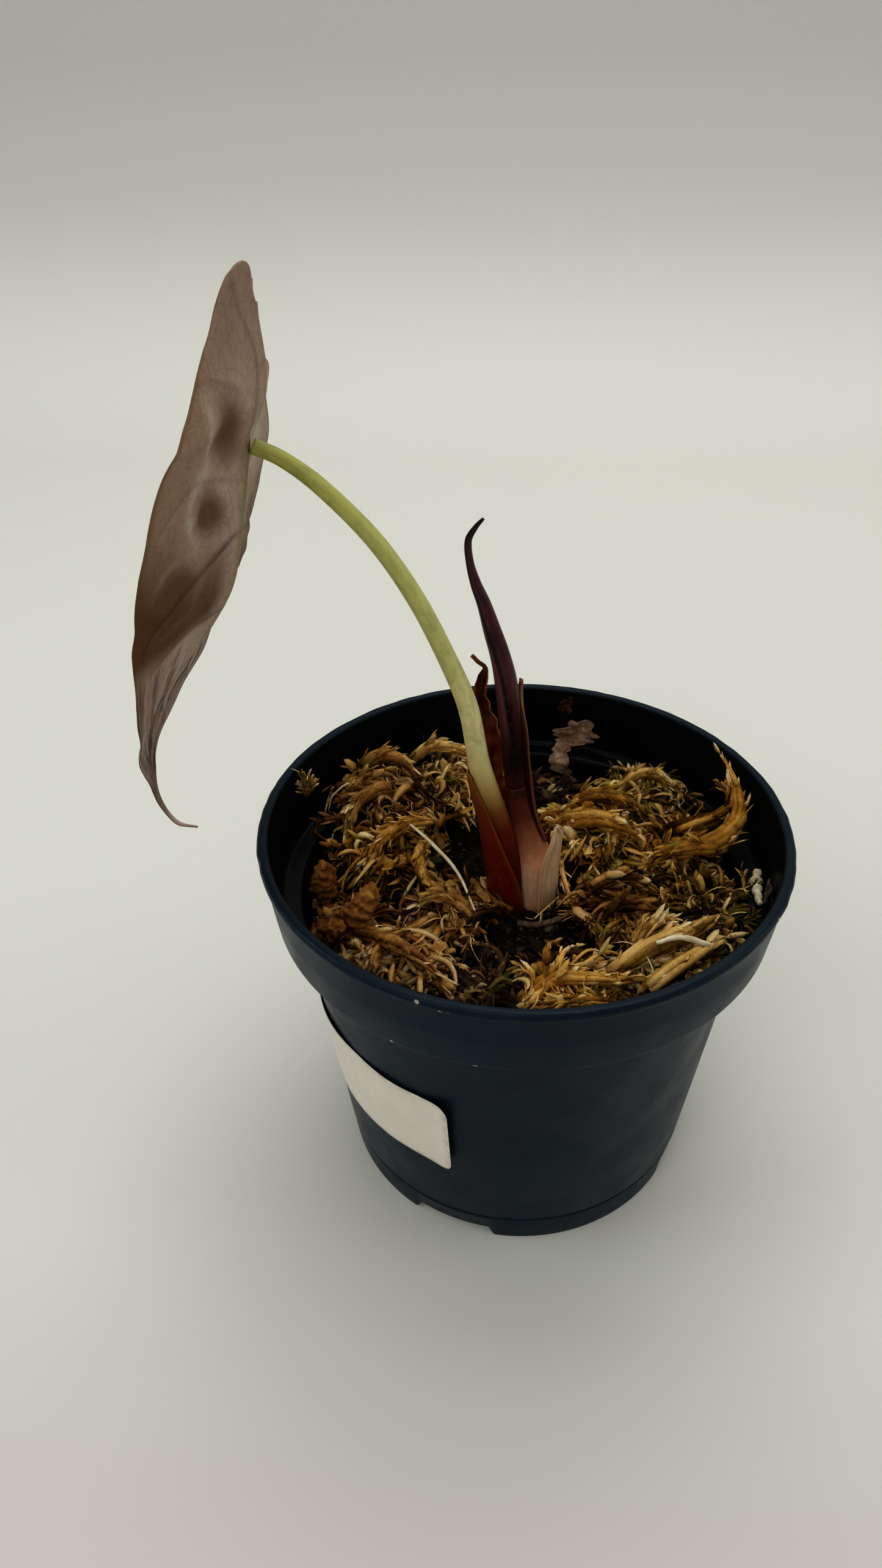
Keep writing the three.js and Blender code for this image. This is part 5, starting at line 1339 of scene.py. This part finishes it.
class Heap:
    """Points, faces and numbers of many small shapes that become one mesh."""

    def __init__(self):
        self.points, self.faces, self.tones, self.tips, self.count = [], [], [], [], 0

    def add(self, points, faces, tone, tip):
        """Adds shapes, faced outwards, with a tone and a tip value for each point."""
        points = points.reshape(-1, 3)
        if volume(points, faces) < 0:
            faces = [block[:, ::-1] for block in faces]
        self.points.append(points)
        self.faces += [block + self.count for block in faces]
        self.tones.append(np.broadcast_to(tone, len(points)))
        self.tips.append(np.broadcast_to(tip, len(points)))
        self.count += len(points)

    def finish(self, name, material, slot, node):
        """Makes the heap one piece that stands for its solid."""
        by_size = [np.concatenate([block for block in self.faces if block.shape[1] == k]) for k in (3, 4)]
        add_piece(name, np.concatenate(self.points), by_size, [material], slot, [node],
                  values={"tone": np.concatenate(self.tones), "tip": np.concatenate(self.tips)})


# %% [markdown]
# A strand needs directions square to it at each step. Round them go the core, the flat ribbons and the
# leaflets.

# %% Cores, ribbons and leaflets
def at_turn(turn, side, front):
    """Directions at a turn from one direction to another: cos * side + sin * front."""
    return np.cos(turn)[..., None] * side + np.sin(turn)[..., None] * front


def frames_along(paths):
    """At each step of each path: the direction, and two directions square to it."""
    tangents = unit(np.gradient(paths, axis=1))
    side = unit(np.cross(tangents, np.array([0.31, 0.2, 0.93])))
    return tangents, side, np.cross(side, tangents)


def between(rows, shares):
    """Values of rows (strand, step, ...) at shares of the way, one row of shares for each strand."""
    place = np.clip(shares, 0, 1) * (rows.shape[1] - 1)
    low = np.minimum(place.astype(int), rows.shape[1] - 2)
    part = place - low
    strand = np.arange(len(rows))[:, None]
    if rows.ndim == 3:
        part = part[..., None]
    return rows[strand, low] * (1 - part) + rows[strand, low + 1] * part


def add_tubes(heap, paths, rings, tone, tip):
    """Many tubes of rings, each closed by the first and the last point of its path."""
    one_faces = rings_with_ends(rings[0])[1]
    points = np.concatenate([rings.reshape(len(paths), -1, 3), paths[:, :1], paths[:, -1:]], 1)
    shift = points.shape[1] * np.arange(len(paths))[:, None, None]
    faces = [(block[None] + shift).reshape(-1, block.shape[1]) for block in one_faces]
    heap.add(points, faces, np.repeat(tone, points.shape[1]), tip)


def add_cores(heap, paths, radii, tone, sides=5):
    """A round core along each path: centre + radius * (cos * side + sin * front)."""
    _, side, front = frames_along(paths)
    outward = at_turn(round_turns(sides), side[:, :, None], front[:, :, None])
    rings = paths[:, :, None] + radii[..., None, None] * outward
    add_tubes(heap, paths, rings, tone, 0.0)


def add_ribbons(heap, draw, paths, half_width, tone):
    """Flat fibres along each path: a four-sided ring, wide one way and thin the other, that twists on its
    way."""
    count, steps = paths.shape[:2]
    _, side, front = frames_along(paths)
    t = np.linspace(0, 1, steps)
    width = half_width[:, None] * np.sin(np.pi * (0.06 + 0.9 * t)) ** 0.7
    turn = draw.uniform(0, 6.3, (count, 1)) + draw.uniform(-3, 3, (count, 1)) * t
    wide, thin = at_turn(turn, side, front), at_turn(turn, front, -side)
    corners = np.array([(1, 0), (0, 0.3), (-1, 0), (0, -0.15)])
    outline = corners[:, :1] * wide[:, :, None] + corners[:, 1:] * thin[:, :, None]
    rings = paths[:, :, None] + width[..., None, None] * outline
    tips = np.concatenate([np.repeat(t, 4), [0, 1]])
    add_tubes(heap, paths, rings, tone, np.tile(tips, count))


def add_leaflets(heap, draw, paths, radii, tone, count, length, width, spread):
    """Leaflets round each core: a place along it, a turn in a golden spiral, and a shallow channel that leans
    outwards by its spread and bends with the square of the way to its tip."""
    strands = len(paths)
    tangents, side, front = frames_along(paths)
    shares = np.clip((np.arange(count) + draw.normal(0.5, 1.2, (strands, count))) / count, 0, 1)
    turn = GOLDEN_TURN * np.arange(count) + draw.uniform(0, 6.3, (strands, 1))
    turn = turn + draw.normal(0, 0.8, (strands, count))
    along = unit(between(tangents, shares))
    radial = unit(at_turn(turn, between(side, shares), between(front, shares)))
    foot = between(paths, shares) + radial * (0.75 * between(radii, shares))[..., None]
    stray = 1 + 1.6 * (draw.uniform(0, 1, (strands, count)) > 0.86)
    lean = (spread * stray * draw.uniform(0, 2.2, (strands, count)))[..., None]
    heading = unit(along * np.cos(lean) + radial * np.sin(lean))
    wide = unit(np.cross(heading, radial))
    back = np.cross(wide, heading)
    back *= np.sign((back * radial).sum(-1, keepdims=True))
    size = (1 - 0.4 * shares) * draw.uniform(0.45, 1.6, (strands, count))
    long = (length * size)[..., None]
    half = (width * size * draw.uniform(0.65, 1.25, (strands, count)))[..., None]
    curl = (draw.uniform(-0.3, 0.34, (strands, count)) * stray)[..., None] * long
    twist = draw.normal(0, 0.2, (strands, count))[..., None] * long

    def at(share, sideways, out):
        return foot + heading * long * share + back * (curl * share**2 + out * half) + wide * (
            sideways * half + twist * share**2)

    points = np.stack([
        at(0, 0, 0), at(0.35, -1, 0.4), at(0.35, 0, 0.1), at(0.35, 1, 0.4), at(0.35, 0, -0.1),
        at(0.76, -0.8, 0.5), at(0.76, 0, 0.15), at(0.76, 0.8, 0.5), at(0.76, 0, -0.05), at(1, 0, 0.2)], 2)
    shift = 10 * np.arange(strands * count)[:, None, None]
    quads = (LEAFLET_QUADS[None] + shift).reshape(-1, 4)
    triangles = (LEAFLET_ENDS[None] + shift).reshape(-1, 3)
    # Darker towards the strand's start and lighter towards its end, partly as painted shade low in the clump
    tones = tone[:, None] + 0.34 * (shares - 0.5) + draw.normal(0, 0.13, (strands, count))
    tips = np.tile(LEAFLET_TIPS, strands * count)
    heap.add(points, [quads, triangles], np.repeat(np.clip(tones, 0, 1).ravel(), 10), tips)


# %% [markdown]
# Strands keep off the wall, off the foot of the plant, and out of the bare hollow in front of it. Three masks
# do that: each pushes a point out to its border, or in to it.

# %% Where moss may lie
WET_HOLLOW, HOLLOW_SIZE, FOOT_SIZE = np.array([4, -16.5]), np.array([14.5, 8.5]), np.array([9.2, 9.2])
COLLAR_INSIDE = 55.6


def wall_limit(z):
    """How far from the pot's axis moss may reach: the wall's inside, or the collar's inside above the
    ledge."""
    return np.where(z < LEDGE_Z + 0.4, wall_outside(z) - WALL, COLLAR_INSIDE) - 1.0


def pushed_out(flat, middle, size):
    """Points inside an oval are moved out to its border."""
    offset = (flat - middle) / size
    gap = np.linalg.norm(offset, axis=-1, keepdims=True)
    return middle + offset * np.maximum(1, 1 / np.maximum(gap, 1e-6)) * size


def keep_inside(points, margin, above):
    """Points inside the pot, off the plant's foot, and at least a little above the peat."""
    flat = points[..., :2]
    away = np.linalg.norm(flat, axis=-1)
    flat = flat * np.minimum(1, (wall_limit(points[..., 2]) - margin) / np.maximum(away, 1e-6))[..., None]
    in_hollow = points[..., 2:] < PEAT_TOP_Z + 8
    flat = np.where(in_hollow, pushed_out(flat, WET_HOLLOW, HOLLOW_SIZE), flat)
    flat = pushed_out(flat, PLANT_MIDDLE, FOOT_SIZE)
    low = peat_top(flat[..., 0], flat[..., 1]) + above
    return np.concatenate([flat, np.maximum(points[..., 2], low)[..., None]], -1)


def strand_paths(draw, clump, count, length, thick, rise):
    """Strands of a clump: each starts on the cushion, rises, wanders and droops. Its height is
    root + rise * sin(0.8 pi t) - droop * t^2 and a small wave, and it heads outwards or along the clump's own
    flow."""
    (cx, cy), (rx, ry), top = clump["centre"], clump["radii"], clump["top"]
    index = np.arange(count)
    around = GOLDEN_TURN * index + draw.uniform(0, 0.8, count)
    out = np.sqrt((index + 0.5) / count)
    height = top - PEAT_TOP_Z
    root = PEAT_TOP_Z + 0.66 * height * np.sqrt(np.clip(1 - (out / 1.1) ** 2, 0, 1)) - 0.6
    flow = clump.get("flow")
    straight, stray = (around, 0.9) if flow is None else (np.radians(flow), 0.75)
    heading = straight + draw.normal(0, stray, count)
    curl = draw.normal(0, 1.7, count)
    long = length * draw.uniform(0.5, 1.4, count)
    lift = rise * height * draw.uniform(0.2, 1.4, count)
    lift = lift + clump.get("rise", 0) * draw.uniform(0.3, 1.3, count)
    droop = clump.get("droop", 4) * draw.uniform(0.3, 1.5, count)
    t = np.linspace(0, 1, STEPS)[None]
    turn = heading[:, None] + curl[:, None] * t**1.4 + 0.45 * np.sin(5 * t + around[:, None] * 3)
    step = long[:, None] / (STEPS - 1)
    back = 0.4 * long[:, None]
    start_x, start_y = cx + rx * out * np.cos(around), cy + ry * out * np.sin(around)
    x = start_x[:, None] + np.cumsum(step * np.cos(turn), 1) - back * np.cos(turn[:, :1])
    y = start_y[:, None] + np.cumsum(step * np.sin(turn), 1) - back * np.sin(turn[:, :1])
    z = (root[:, None] + lift[:, None] * np.sin(0.8 * np.pi * t) - droop[:, None] * t**2
         + 0.4 * np.sin(7 * t + index[:, None]))
    radii = thick * draw.uniform(0.6, 1.35, count)[:, None] * (1 - 0.75 * t**1.6)
    margin = draw.uniform(0.4, 3.6, count)[:, None] + radii
    return keep_inside(np.stack([x, y, z], -1), margin, 0.3 * radii), radii


def plaited(draw, stations, count, tightness=0.55):
    """Strands wound round one thick path: each keeps its own turn about it, and that turn slowly grows."""
    t = np.linspace(0, 1, STEPS)
    first, last = draw.uniform(0, 0.18, count)[:, None], draw.uniform(0.72, 1.0, count)[:, None]
    centre, (thick,), _ = follow(stations, first + (last - first) * t)
    _, side, front = frames_along(centre)
    start = 2 * np.pi * np.arange(count) / count + draw.normal(0, 0.2, count)
    turn = start[:, None] + draw.uniform(1, 2.4) * t
    paths = centre + (tightness * thick)[..., None] * at_turn(turn, side, front)
    return paths, 0.42 * thick * (1 - 0.3 * t)


# %% [markdown]
# Among the strands lie flat bits: single torn leaves and shreds of bark. A flake is an oval sheet that is
# rolled across and bent along, with a lower face a little below the upper one.

# %% Flakes and cushions
FLAKE_ROWS, FLAKE_COLUMNS, FLAKE_THICKNESS, FLAKES_PER_CLUMP = 9, 6, 0.14, 16
CUSHION_ROWS, CUSHION_COLUMNS, CUSHION_TILT = 18, 44, 0.62 * np.pi


def add_flakes(heap, draw, clump, count, tone):
    """Oval sheets on top of a clump: half width sqrt(1 - u^2) across, rolled and bent, each turned its own
    way."""
    (cx, cy), (rx, ry), top = clump["centre"], clump["radii"], clump["top"]
    u, w = grid_of(np.linspace(-0.97, 0.97, FLAKE_ROWS), np.linspace(-1, 1, FLAKE_COLUMNS))
    long, wide = draw.uniform(1.8, 4.0, (2, count, 1, 1)) * np.array([1, 0.42])[:, None, None, None]
    ranges = ((0.3, 1.5), (-0.6, 0.6), (0, 0.5))
    roll, bend, wave = (draw.uniform(low, high, (count, 1, 1)) for low, high in ranges)
    across = w * np.sqrt(1 - u**2) * (1 + 0.25 * np.sin(7 * u + 9 * roll))
    x = long * u
    y = wide * np.sin(roll * across * 1.4) / roll
    z = wide * (1 - np.cos(roll * across * 1.4)) / roll + long * bend * u**2
    z = z + wave * np.sin(4 * u + 3 * across)
    sheet = np.stack([x, y, z], -1)
    turn, lean = draw.uniform(0, 2 * np.pi, (count, 1, 1)), draw.normal(0, 0.5, (count, 1, 1))
    sheet = turned(turned(sheet, lean, 0, 2), turn, 0, 1)
    around, out = draw.uniform(0, 2 * np.pi, count), np.sqrt(draw.uniform(0, 0.9, count))
    height = 0.8 * (top - PEAT_TOP_Z) * np.sqrt(1 - 0.8 * out**2) + draw.uniform(-1, 1, count)
    middle = np.stack([cx + rx * out * np.cos(around), cy + ry * out * np.sin(around), PEAT_TOP_Z + height],
                      -1)
    sheet = keep_inside(sheet + middle[:, None, None], 0.6, 0.4)
    for one, shade in zip(sheet, np.clip(tone + draw.normal(0, 0.2, count), 0.05, 0.95)):
        points, faces = thin_sheet(one, FLAKE_THICKNESS)
        heap.add(points, faces, shade, 0.5 * np.tile(np.abs(across[0]).ravel(), 2))


def add_cushion(heap, clump, seed):
    """The matted inside of a clump, near black as painted shade between the strands: a low dome with rough
    relief, on which the strands lie.
    """
    (cx, cy), (rx, ry) = clump["centre"], clump["radii"]
    height = 0.55 * (clump["top"] - PEAT_TOP_Z)
    tilt, turn = grid_of(np.linspace(0.02, CUSHION_TILT, CUSHION_ROWS), round_turns(CUSHION_COLUMNS))
    ball = polar(np.sin(tilt), turn, np.cos(tilt))
    rough = 1 + 0.12 * lumps(ball * 9, 3, seed) + 0.06 * lumps(ball * 9, 1.2, seed + 1)
    rings = np.array([cx, cy, PEAT_TOP_Z]) + ball * np.array([rx, ry, height]) * rough[..., None]
    low = rings[..., 2]
    rings = keep_inside(rings, 0.8, -3.0)
    rings[..., 2] = low
    # A tone of 0.06 paints the cushion near black, as shade between the strands
    heap.add(*rings_with_ends(rings), 0.06, 0.0)


# %% [markdown]
# One finish serves all the moss, with a different scale of colours for each kind. The number kept on each
# leaflet picks its tone, the tip is lighter than the foot, partly as paler tips and partly as painted shade at
# the foot, and fine noise breaks up the rest. Dry leaflets let some light through, so the shader has a
# little subsurface scattering.

# %% Moss finishes
MOSS_SCALES = {
    "moss_brown": [(0.0, (0.007, 0.003, 0.001)), (0.22, (0.070, 0.026, 0.004)), (0.45, (0.27, 0.122, 0.028)),
                   (0.72, (0.62, 0.375, 0.130)), (1.0, (0.92, 0.72, 0.42))],
    "moss_gold": [(0.0, (0.010, 0.004, 0.001)), (0.22, (0.110, 0.048, 0.005)), (0.45, (0.41, 0.205, 0.032)),
                  (0.72, (0.78, 0.490, 0.150)), (1.0, (0.98, 0.79, 0.46))],
    "moss_pale": [(0.0, (0.010, 0.005, 0.001)), (0.22, (0.110, 0.060, 0.012)), (0.45, (0.42, 0.245, 0.060)),
                  (0.72, (0.76, 0.530, 0.215)), (1.0, (0.96, 0.79, 0.48))],
    "moss_dark": [(0.0, (0.004, 0.002, 0.001)), (0.35, (0.030, 0.013, 0.008)), (0.6, (0.110, 0.056, 0.026)),
                  (0.85, (0.32, 0.205, 0.090)), (1.0, (0.60, 0.45, 0.24))],
}


def moss_finish(name, stops):
    """Moss from a scale of colours: 0.85 of the tone, 0.2 of the tip, and clouds of two sizes on top."""
    material, tree, shader = new_material(name, (1.0, 0.6, 0.2), Roughness=0.55, Specular_IOR_Level=0.15,
                                          Subsurface_Weight=0.12, Subsurface_Scale=0.0012)
    place = millimetres(tree)
    tone = times(attribute(tree, "tone"), 0.85)
    # Lighter towards each tip: partly paler tips, partly painted shade at the leaflets' feet
    tone = plus(tone, times(attribute(tree, "tip"), 0.2))
    for size, share in ((0.16, 0.7), (1.1, 0.35)):
        mottle = calc("SUBTRACT", noise(place, size, 3.0, 0.6), 0.53)
        tone = plus(tone, times(mottle, share))
    colour = ramp(calc("MAXIMUM", tone, 0.0), stops)
    green = remap(noise(place, 0.11, 2.0, 0.5), 0.62, 0.7)
    colour = tint(colour, green, 0.45, (0.20, 0.21, 0.035))
    lay(shader, colour, noise(place, 3.5, 3.0, 0.6), 0.2, 0.7)
    return material


moss_finishes = {name: moss_finish(name, stops) for name, stops in MOSS_SCALES.items()}

# %% [markdown]
# ## Clumps
# The clumps lie where their solids do. Each has a kind, a tone, and a direction in which its strands were
# combed. Most also have thick plaits of their own: the claw that climbs the wall at the right, pale braids in
# front, and three brown knobs at the left.

# %% Clumps
MOSS = {
    "moss_right": dict(centre=(38, 13), radii=(11, 12), top=82, kind="moss_gold", tone=0.61, droop=3),
    "moss_left_back": dict(centre=(-36, 26), radii=(12, 12), top=88, kind="moss_brown", tone=0.62, flow=215),
    "moss_pale_back": dict(centre=(-20, 35), radii=(11, 9), top=86, kind="moss_pale", tone=0.58, flow=20),
    "moss_left": dict(centre=(-30, 6), radii=(12, 11), top=86, kind="moss_gold", tone=0.51, flow=240,
                      droop=6),
    "moss_nodules": dict(centre=(-40, -16), radii=(8, 10), top=79, kind="moss_brown", tone=0.45),
    "moss_left_front": dict(centre=(-26, -30), radii=(12, 11), top=83, kind="moss_brown", tone=0.83,
                            flow=300),
    "moss_front": dict(centre=(-6, -39), radii=(10, 9), top=81, kind="moss_dark", tone=0.5),
    "moss_front_gold": dict(centre=(12, -38), radii=(12, 9), top=85, kind="moss_gold", tone=0.68, flow=25),
    "moss_front_right": dict(centre=(33, -28), radii=(11, 10), top=85, kind="moss_pale", tone=0.76, flow=35),
    "moss_spikes": dict(centre=(41, -9), radii=(8, 9), top=79, kind="moss_pale", tone=0.30, rise=4, droop=-3),
    "moss_middle_right": dict(centre=(24, -6), radii=(10.5, 8.5), top=80, kind="moss_brown", tone=0.50),
    "moss_behind_stem": dict(centre=(17, 17), radii=(11, 12), top=86, kind="moss_gold", tone=0.66, flow=200),
    "moss_beside_stem": dict(centre=(-15, -10), radii=(9, 10), top=80, kind="moss_brown", tone=0.62,
                             flow=190),
    "moss_back": dict(centre=(4, 36), radii=(13, 9), top=78.5, kind="moss_dark", tone=0.4),
    "moss_back_right": dict(centre=(31, 33), radii=(8, 7), top=83, kind="moss_pale", tone=0.55, rise=2),
}
# %% [markdown]
# A plait winds some strands round one thick path. A knob is a short stalk with folds in its skin.

# %% Plaits and knobs
# Plaits: clump, tone, number of strands, and points with radii
PLAITS = [
    ("moss_right", 0.60, 8, [
        (33, 11, 80, 2.2), (40, 8.5, 82, 2.8), (46, 9, 84, 2.8), (50.2, 12, 88, 2.2), (50.4, 16, 92.5, 1.5),
        (48.6, 21, 96, 0.9), (46.8, 25.5, 98.2, 0.4)]),
    ("moss_right", 0.52, 6, [
        (34, 17, 80, 1.6), (41, 15.5, 84, 2.0), (47, 14.5, 87.5, 1.7), (49.2, 17, 91, 1.1),
        (47.2, 22, 91.5, 0.9), (46, 24.5, 88.4, 0.6)]),
    ("moss_right", 0.55, 6, [
        (47, 6, 83, 1.5), (41, 5, 85, 1.9), (35, 4, 85, 1.7), (30.5, 2.5, 82.5, 1.1), (29.5, 1.5, 79, 0.5)]),
    ("moss_left_back", 0.62, 6, [
        (-44, 30, 83, 1.6), (-39, 33, 88, 2.1), (-33, 32, 89, 1.9), (-28, 28, 86.5, 1.1),
        (-25, 24, 83, 0.5)]),
    ("moss_left_back", 0.72, 5, [
        (-30, 22, 86, 1.3), (-36, 20, 88, 1.8), (-41, 16, 86, 1.6), (-43, 11, 82, 1.0), (-42, 7, 79, 0.5)]),
    ("moss_left_back", 0.50, 5, [
        (-47, 24, 80, 1.4), (-45, 20, 84, 1.8), (-40, 24, 88, 1.6), (-34, 26, 89.5, 0.6)]),
    ("moss_pale_back", 0.72, 5, [
        (-31, 36, 84, 1.2), (-25, 39, 88, 1.7), (-17, 38, 88, 1.5), (-10, 35, 85, 0.6)]),
    ("moss_left", 0.68, 5, [
        (-22, 12, 84, 1.2), (-27, 8, 87, 1.7), (-33, 2, 86, 1.5), (-37, -4, 81.5, 0.6)]),
    ("moss_left", 0.55, 5, [
        (-22, 6, 83, 1.2), (-24, 0, 84, 1.6), (-22, -7, 82, 1.3), (-18, -12, 79, 0.5)]),
    ("moss_left_front", 0.68, 6, [
        (-36, -22, 79, 1.5), (-31, -27, 83, 2.0), (-25, -31, 84, 1.8), (-18, -35, 82, 1.0),
        (-15, -38, 79, 0.5)]),
    ("moss_left_front", 0.60, 5, [
        (-22, -22, 79, 1.2), (-27, -27, 82, 1.7), (-31, -33, 82, 1.5), (-30, -38, 79, 0.6)]),
    ("moss_front_gold", 0.72, 6, [
        (2, -39, 79, 1.2), (7, -37, 83, 1.8), (14, -38, 84.5, 1.8), (21, -37, 83, 1.2), (25, -33, 80, 0.5)]),
    ("moss_front_gold", 0.62, 5, [
        (22, -42, 80, 1.2), (16, -42.5, 82.5, 1.6), (9, -43, 82, 1.3), (3, -43.5, 79.5, 0.6)]),
    ("moss_front_right", 0.74, 7, [
        (18, -32, 79, 1.4), (25, -29, 83, 2.1), (32, -27, 86, 2.3), (39, -22, 85.5, 1.7),
        (44, -16, 83, 0.7)]),
    ("moss_front_right", 0.66, 6, [
        (25, -38, 80, 1.4), (31, -35, 84, 2.0), (38, -30, 85, 1.9), (43, -24, 83, 1.2), (45, -20, 80, 0.5)]),
    ("moss_front_right", 0.80, 5, [
        (24, -24, 80, 1.0), (27, -22, 84, 1.6), (31, -22, 86.5, 1.5), (34, -25, 87, 0.7)]),
    ("moss_middle_right", 0.52, 5, [
        (15, -4, 78, 1.2), (19, -3, 80.5, 1.7), (25, -3, 81.5, 1.5), (32, -6, 79, 0.6)]),
    ("moss_middle_right", 0.62, 5, [
        (19, -11, 77, 1.0), (23, -10, 80, 1.5), (29, -12, 80.5, 1.3), (34, -16, 78, 0.5)]),
    ("moss_behind_stem", 0.66, 7, [
        (7, 17, 80, 1.5), (12, 14, 85, 2.3), (19, 12, 87, 2.2), (25, 12, 84, 1.4), (29, 13, 80, 0.6)]),
    ("moss_behind_stem", 0.55, 6, [
        (12, 26, 81, 1.4), (18, 23, 86, 2.1), (25, 20, 86.5, 1.8), (31, 19, 83, 0.7)]),
    ("moss_back_right", 0.60, 5, [
        (24, 33, 79, 1.1), (28, 33.5, 85, 1.6), (33.5, 32, 86.5, 1.4), (37.5, 29, 82, 0.6)]),
    ("moss_beside_stem", 0.66, 5, [
        (-10.5, -15, 78, 1.1), (-13.5, -13, 81, 1.6), (-19, -12, 82, 1.4), (-24, -14, 79.5, 0.6)]),
    ("moss_beside_stem", 0.56, 5, [
        (-11, -4, 78, 1.0), (-15, -7, 81, 1.4), (-16, -13, 80.5, 1.2), (-13, -19, 78, 0.5)]),
]
KNOB_ROWS, KNOB_COLUMNS = 46, 34
# Knobs of tightly folded tips: points with radii
KNOBS = [
    [(-44.6, -8, 74, 1.4), (-45, -8.4, 79, 2.4), (-45.3, -8.6, 83, 2.7), (-45, -9, 86.5, 1.6),
     (-44.6, -9.2, 88, 0.5)],
    [(-37.6, -19.5, 73, 1.4), (-37, -18.5, 77.5, 2.9), (-35.4, -16.6, 81.5, 3.1), (-33.6, -14.6, 85, 1.7),
     (-32.8, -13.8, 86.6, 0.5)],
    [(-44.2, -22, 74, 1.2), (-43.4, -22.6, 78, 2.3), (-41.6, -23, 80.6, 2.5), (-39, -23.6, 81.6, 1.4),
     (-37.8, -23.8, 81.4, 0.5)],
]


def knob_folds(share, turn):
    """A knob's surface: lengthwise folds that wander, and lumps of two sizes."""
    place = polar(2.4, turn, 14 * share)
    folds = 1 + 0.08 * np.sin(4 * turn + 5 * np.sin(3 * share))
    return folds + 0.14 * lumps(place, 1.3, 68) + 0.10 * lumps(place, 3, 69)


# %% [markdown]
# Each clump is one piece: a cushion painted near black as shade between the strands, long and short strands,
# ribbons, flakes, plaits where it has them, and knobs in one of them. A seed of its own keeps its random draws
# the same in every run.

# %% Growing the moss
for seed, (name, clump) in enumerate(MOSS.items()):
    draw = np.random.default_rng(100 + seed)
    heap = Heap()
    add_cushion(heap, clump, 200 + seed)
    # Strands: number, length, thickness, rise, then leaflets: number, length, half width, lean
    for count, length, thick, rise, leaves, leaf_length, leaf_width, spread in (
            (18, 17, 0.85, 0.3, 19, 4.0, 0.85, 0.08), (18, 11, 0.45, 0.2, 8, 3.4, 0.5, 0.14)):
        paths, radii = strand_paths(draw, clump, count, length, thick, rise)
        tones = np.clip(clump["tone"] - 0.04 + draw.normal(0, 0.22, count), 0.03, 1)
        add_cores(heap, paths, radii, tones - 0.06)
        add_leaflets(heap, draw, paths, radii, tones, leaves, leaf_length, leaf_width, spread)
    # Ribbons: number, length, half width, rise
    for count, length, width, rise in ((48, 12, 0.7, 0.35), (46, 8, 1.05, 0.3)):
        paths, _ = strand_paths(draw, clump, count, length, 0.3, rise)
        tones = np.clip(clump["tone"] + draw.normal(0.02, 0.26, count), 0.03, 1)
        add_ribbons(heap, draw, paths, width * draw.uniform(0.5, 1.3, count), tones)
    for owner, tone, count, stations in PLAITS:
        if owner == name:
            paths, radii = plaited(draw, stations, count)
            tones = np.clip(tone + draw.normal(0, 0.14, count), 0.05, 1)
            add_cores(heap, paths, 1.2 * radii, tones - 0.03, sides=7)
            add_leaflets(heap, draw, paths, radii, tones, 11, 4.4, 0.75, 0.06)
    if name == "moss_nodules":
        for stations in KNOBS:
            rings, _ = stalk_rings(stations, KNOB_ROWS, KNOB_COLUMNS, knob_folds)
            heap.add(*rings_with_ends(rings), 0.56, 0.0)
    add_flakes(heap, draw, clump, FLAKES_PER_CLUMP, clump["tone"] + 0.05)
    heap.finish(name + "_strands", moss_finishes[clump["kind"]], clump["kind"], name)

# %% [markdown]
# A tiny sprig of the same moss has stuck to the wall at the left: four short spikes set with scales.

# %% Sprig on the wall
WALL_SPRIG = [
    [(-53, 15.6, 87.8, 0.8), (-52.8, 15.4, 90.6, 1.3), (-53.4, 15.4, 94, 0.8), (-53.9, 15.4, 96.6, 0.3)],
    [(-52.9, 15.6, 87.9, 0.8), (-52.3, 15, 91, 1.2), (-51.9, 14.8, 93, 0.8), (-51.8, 14.6, 95, 0.3)],
    [(-52.9, 15.6, 88, 0.8), (-51.9, 15, 91.4, 1), (-51.1, 14.6, 92.8, 0.8), (-50.4, 14.2, 94.6, 0.3)],
    [(-53, 15.6, 88.2, 0.8), (-53.8, 15, 90.8, 0.8), (-54.3, 14.6, 93, 0.3)],
]
draw = np.random.default_rng(71)
heap = Heap()
for stations in WALL_SPRIG:
    paths, radii = plaited(draw, stations, 1, 0.0)
    add_cores(heap, paths, 1.6 * radii, np.array([0.5]), sides=7)
    add_leaflets(heap, draw, paths, 1.4 * radii, np.array([0.72]), 16, 2.6, 0.5, 0.12)
heap.finish("wall_sprig_fine", moss_finishes["moss_pale"], "moss_pale", "wall_sprig")
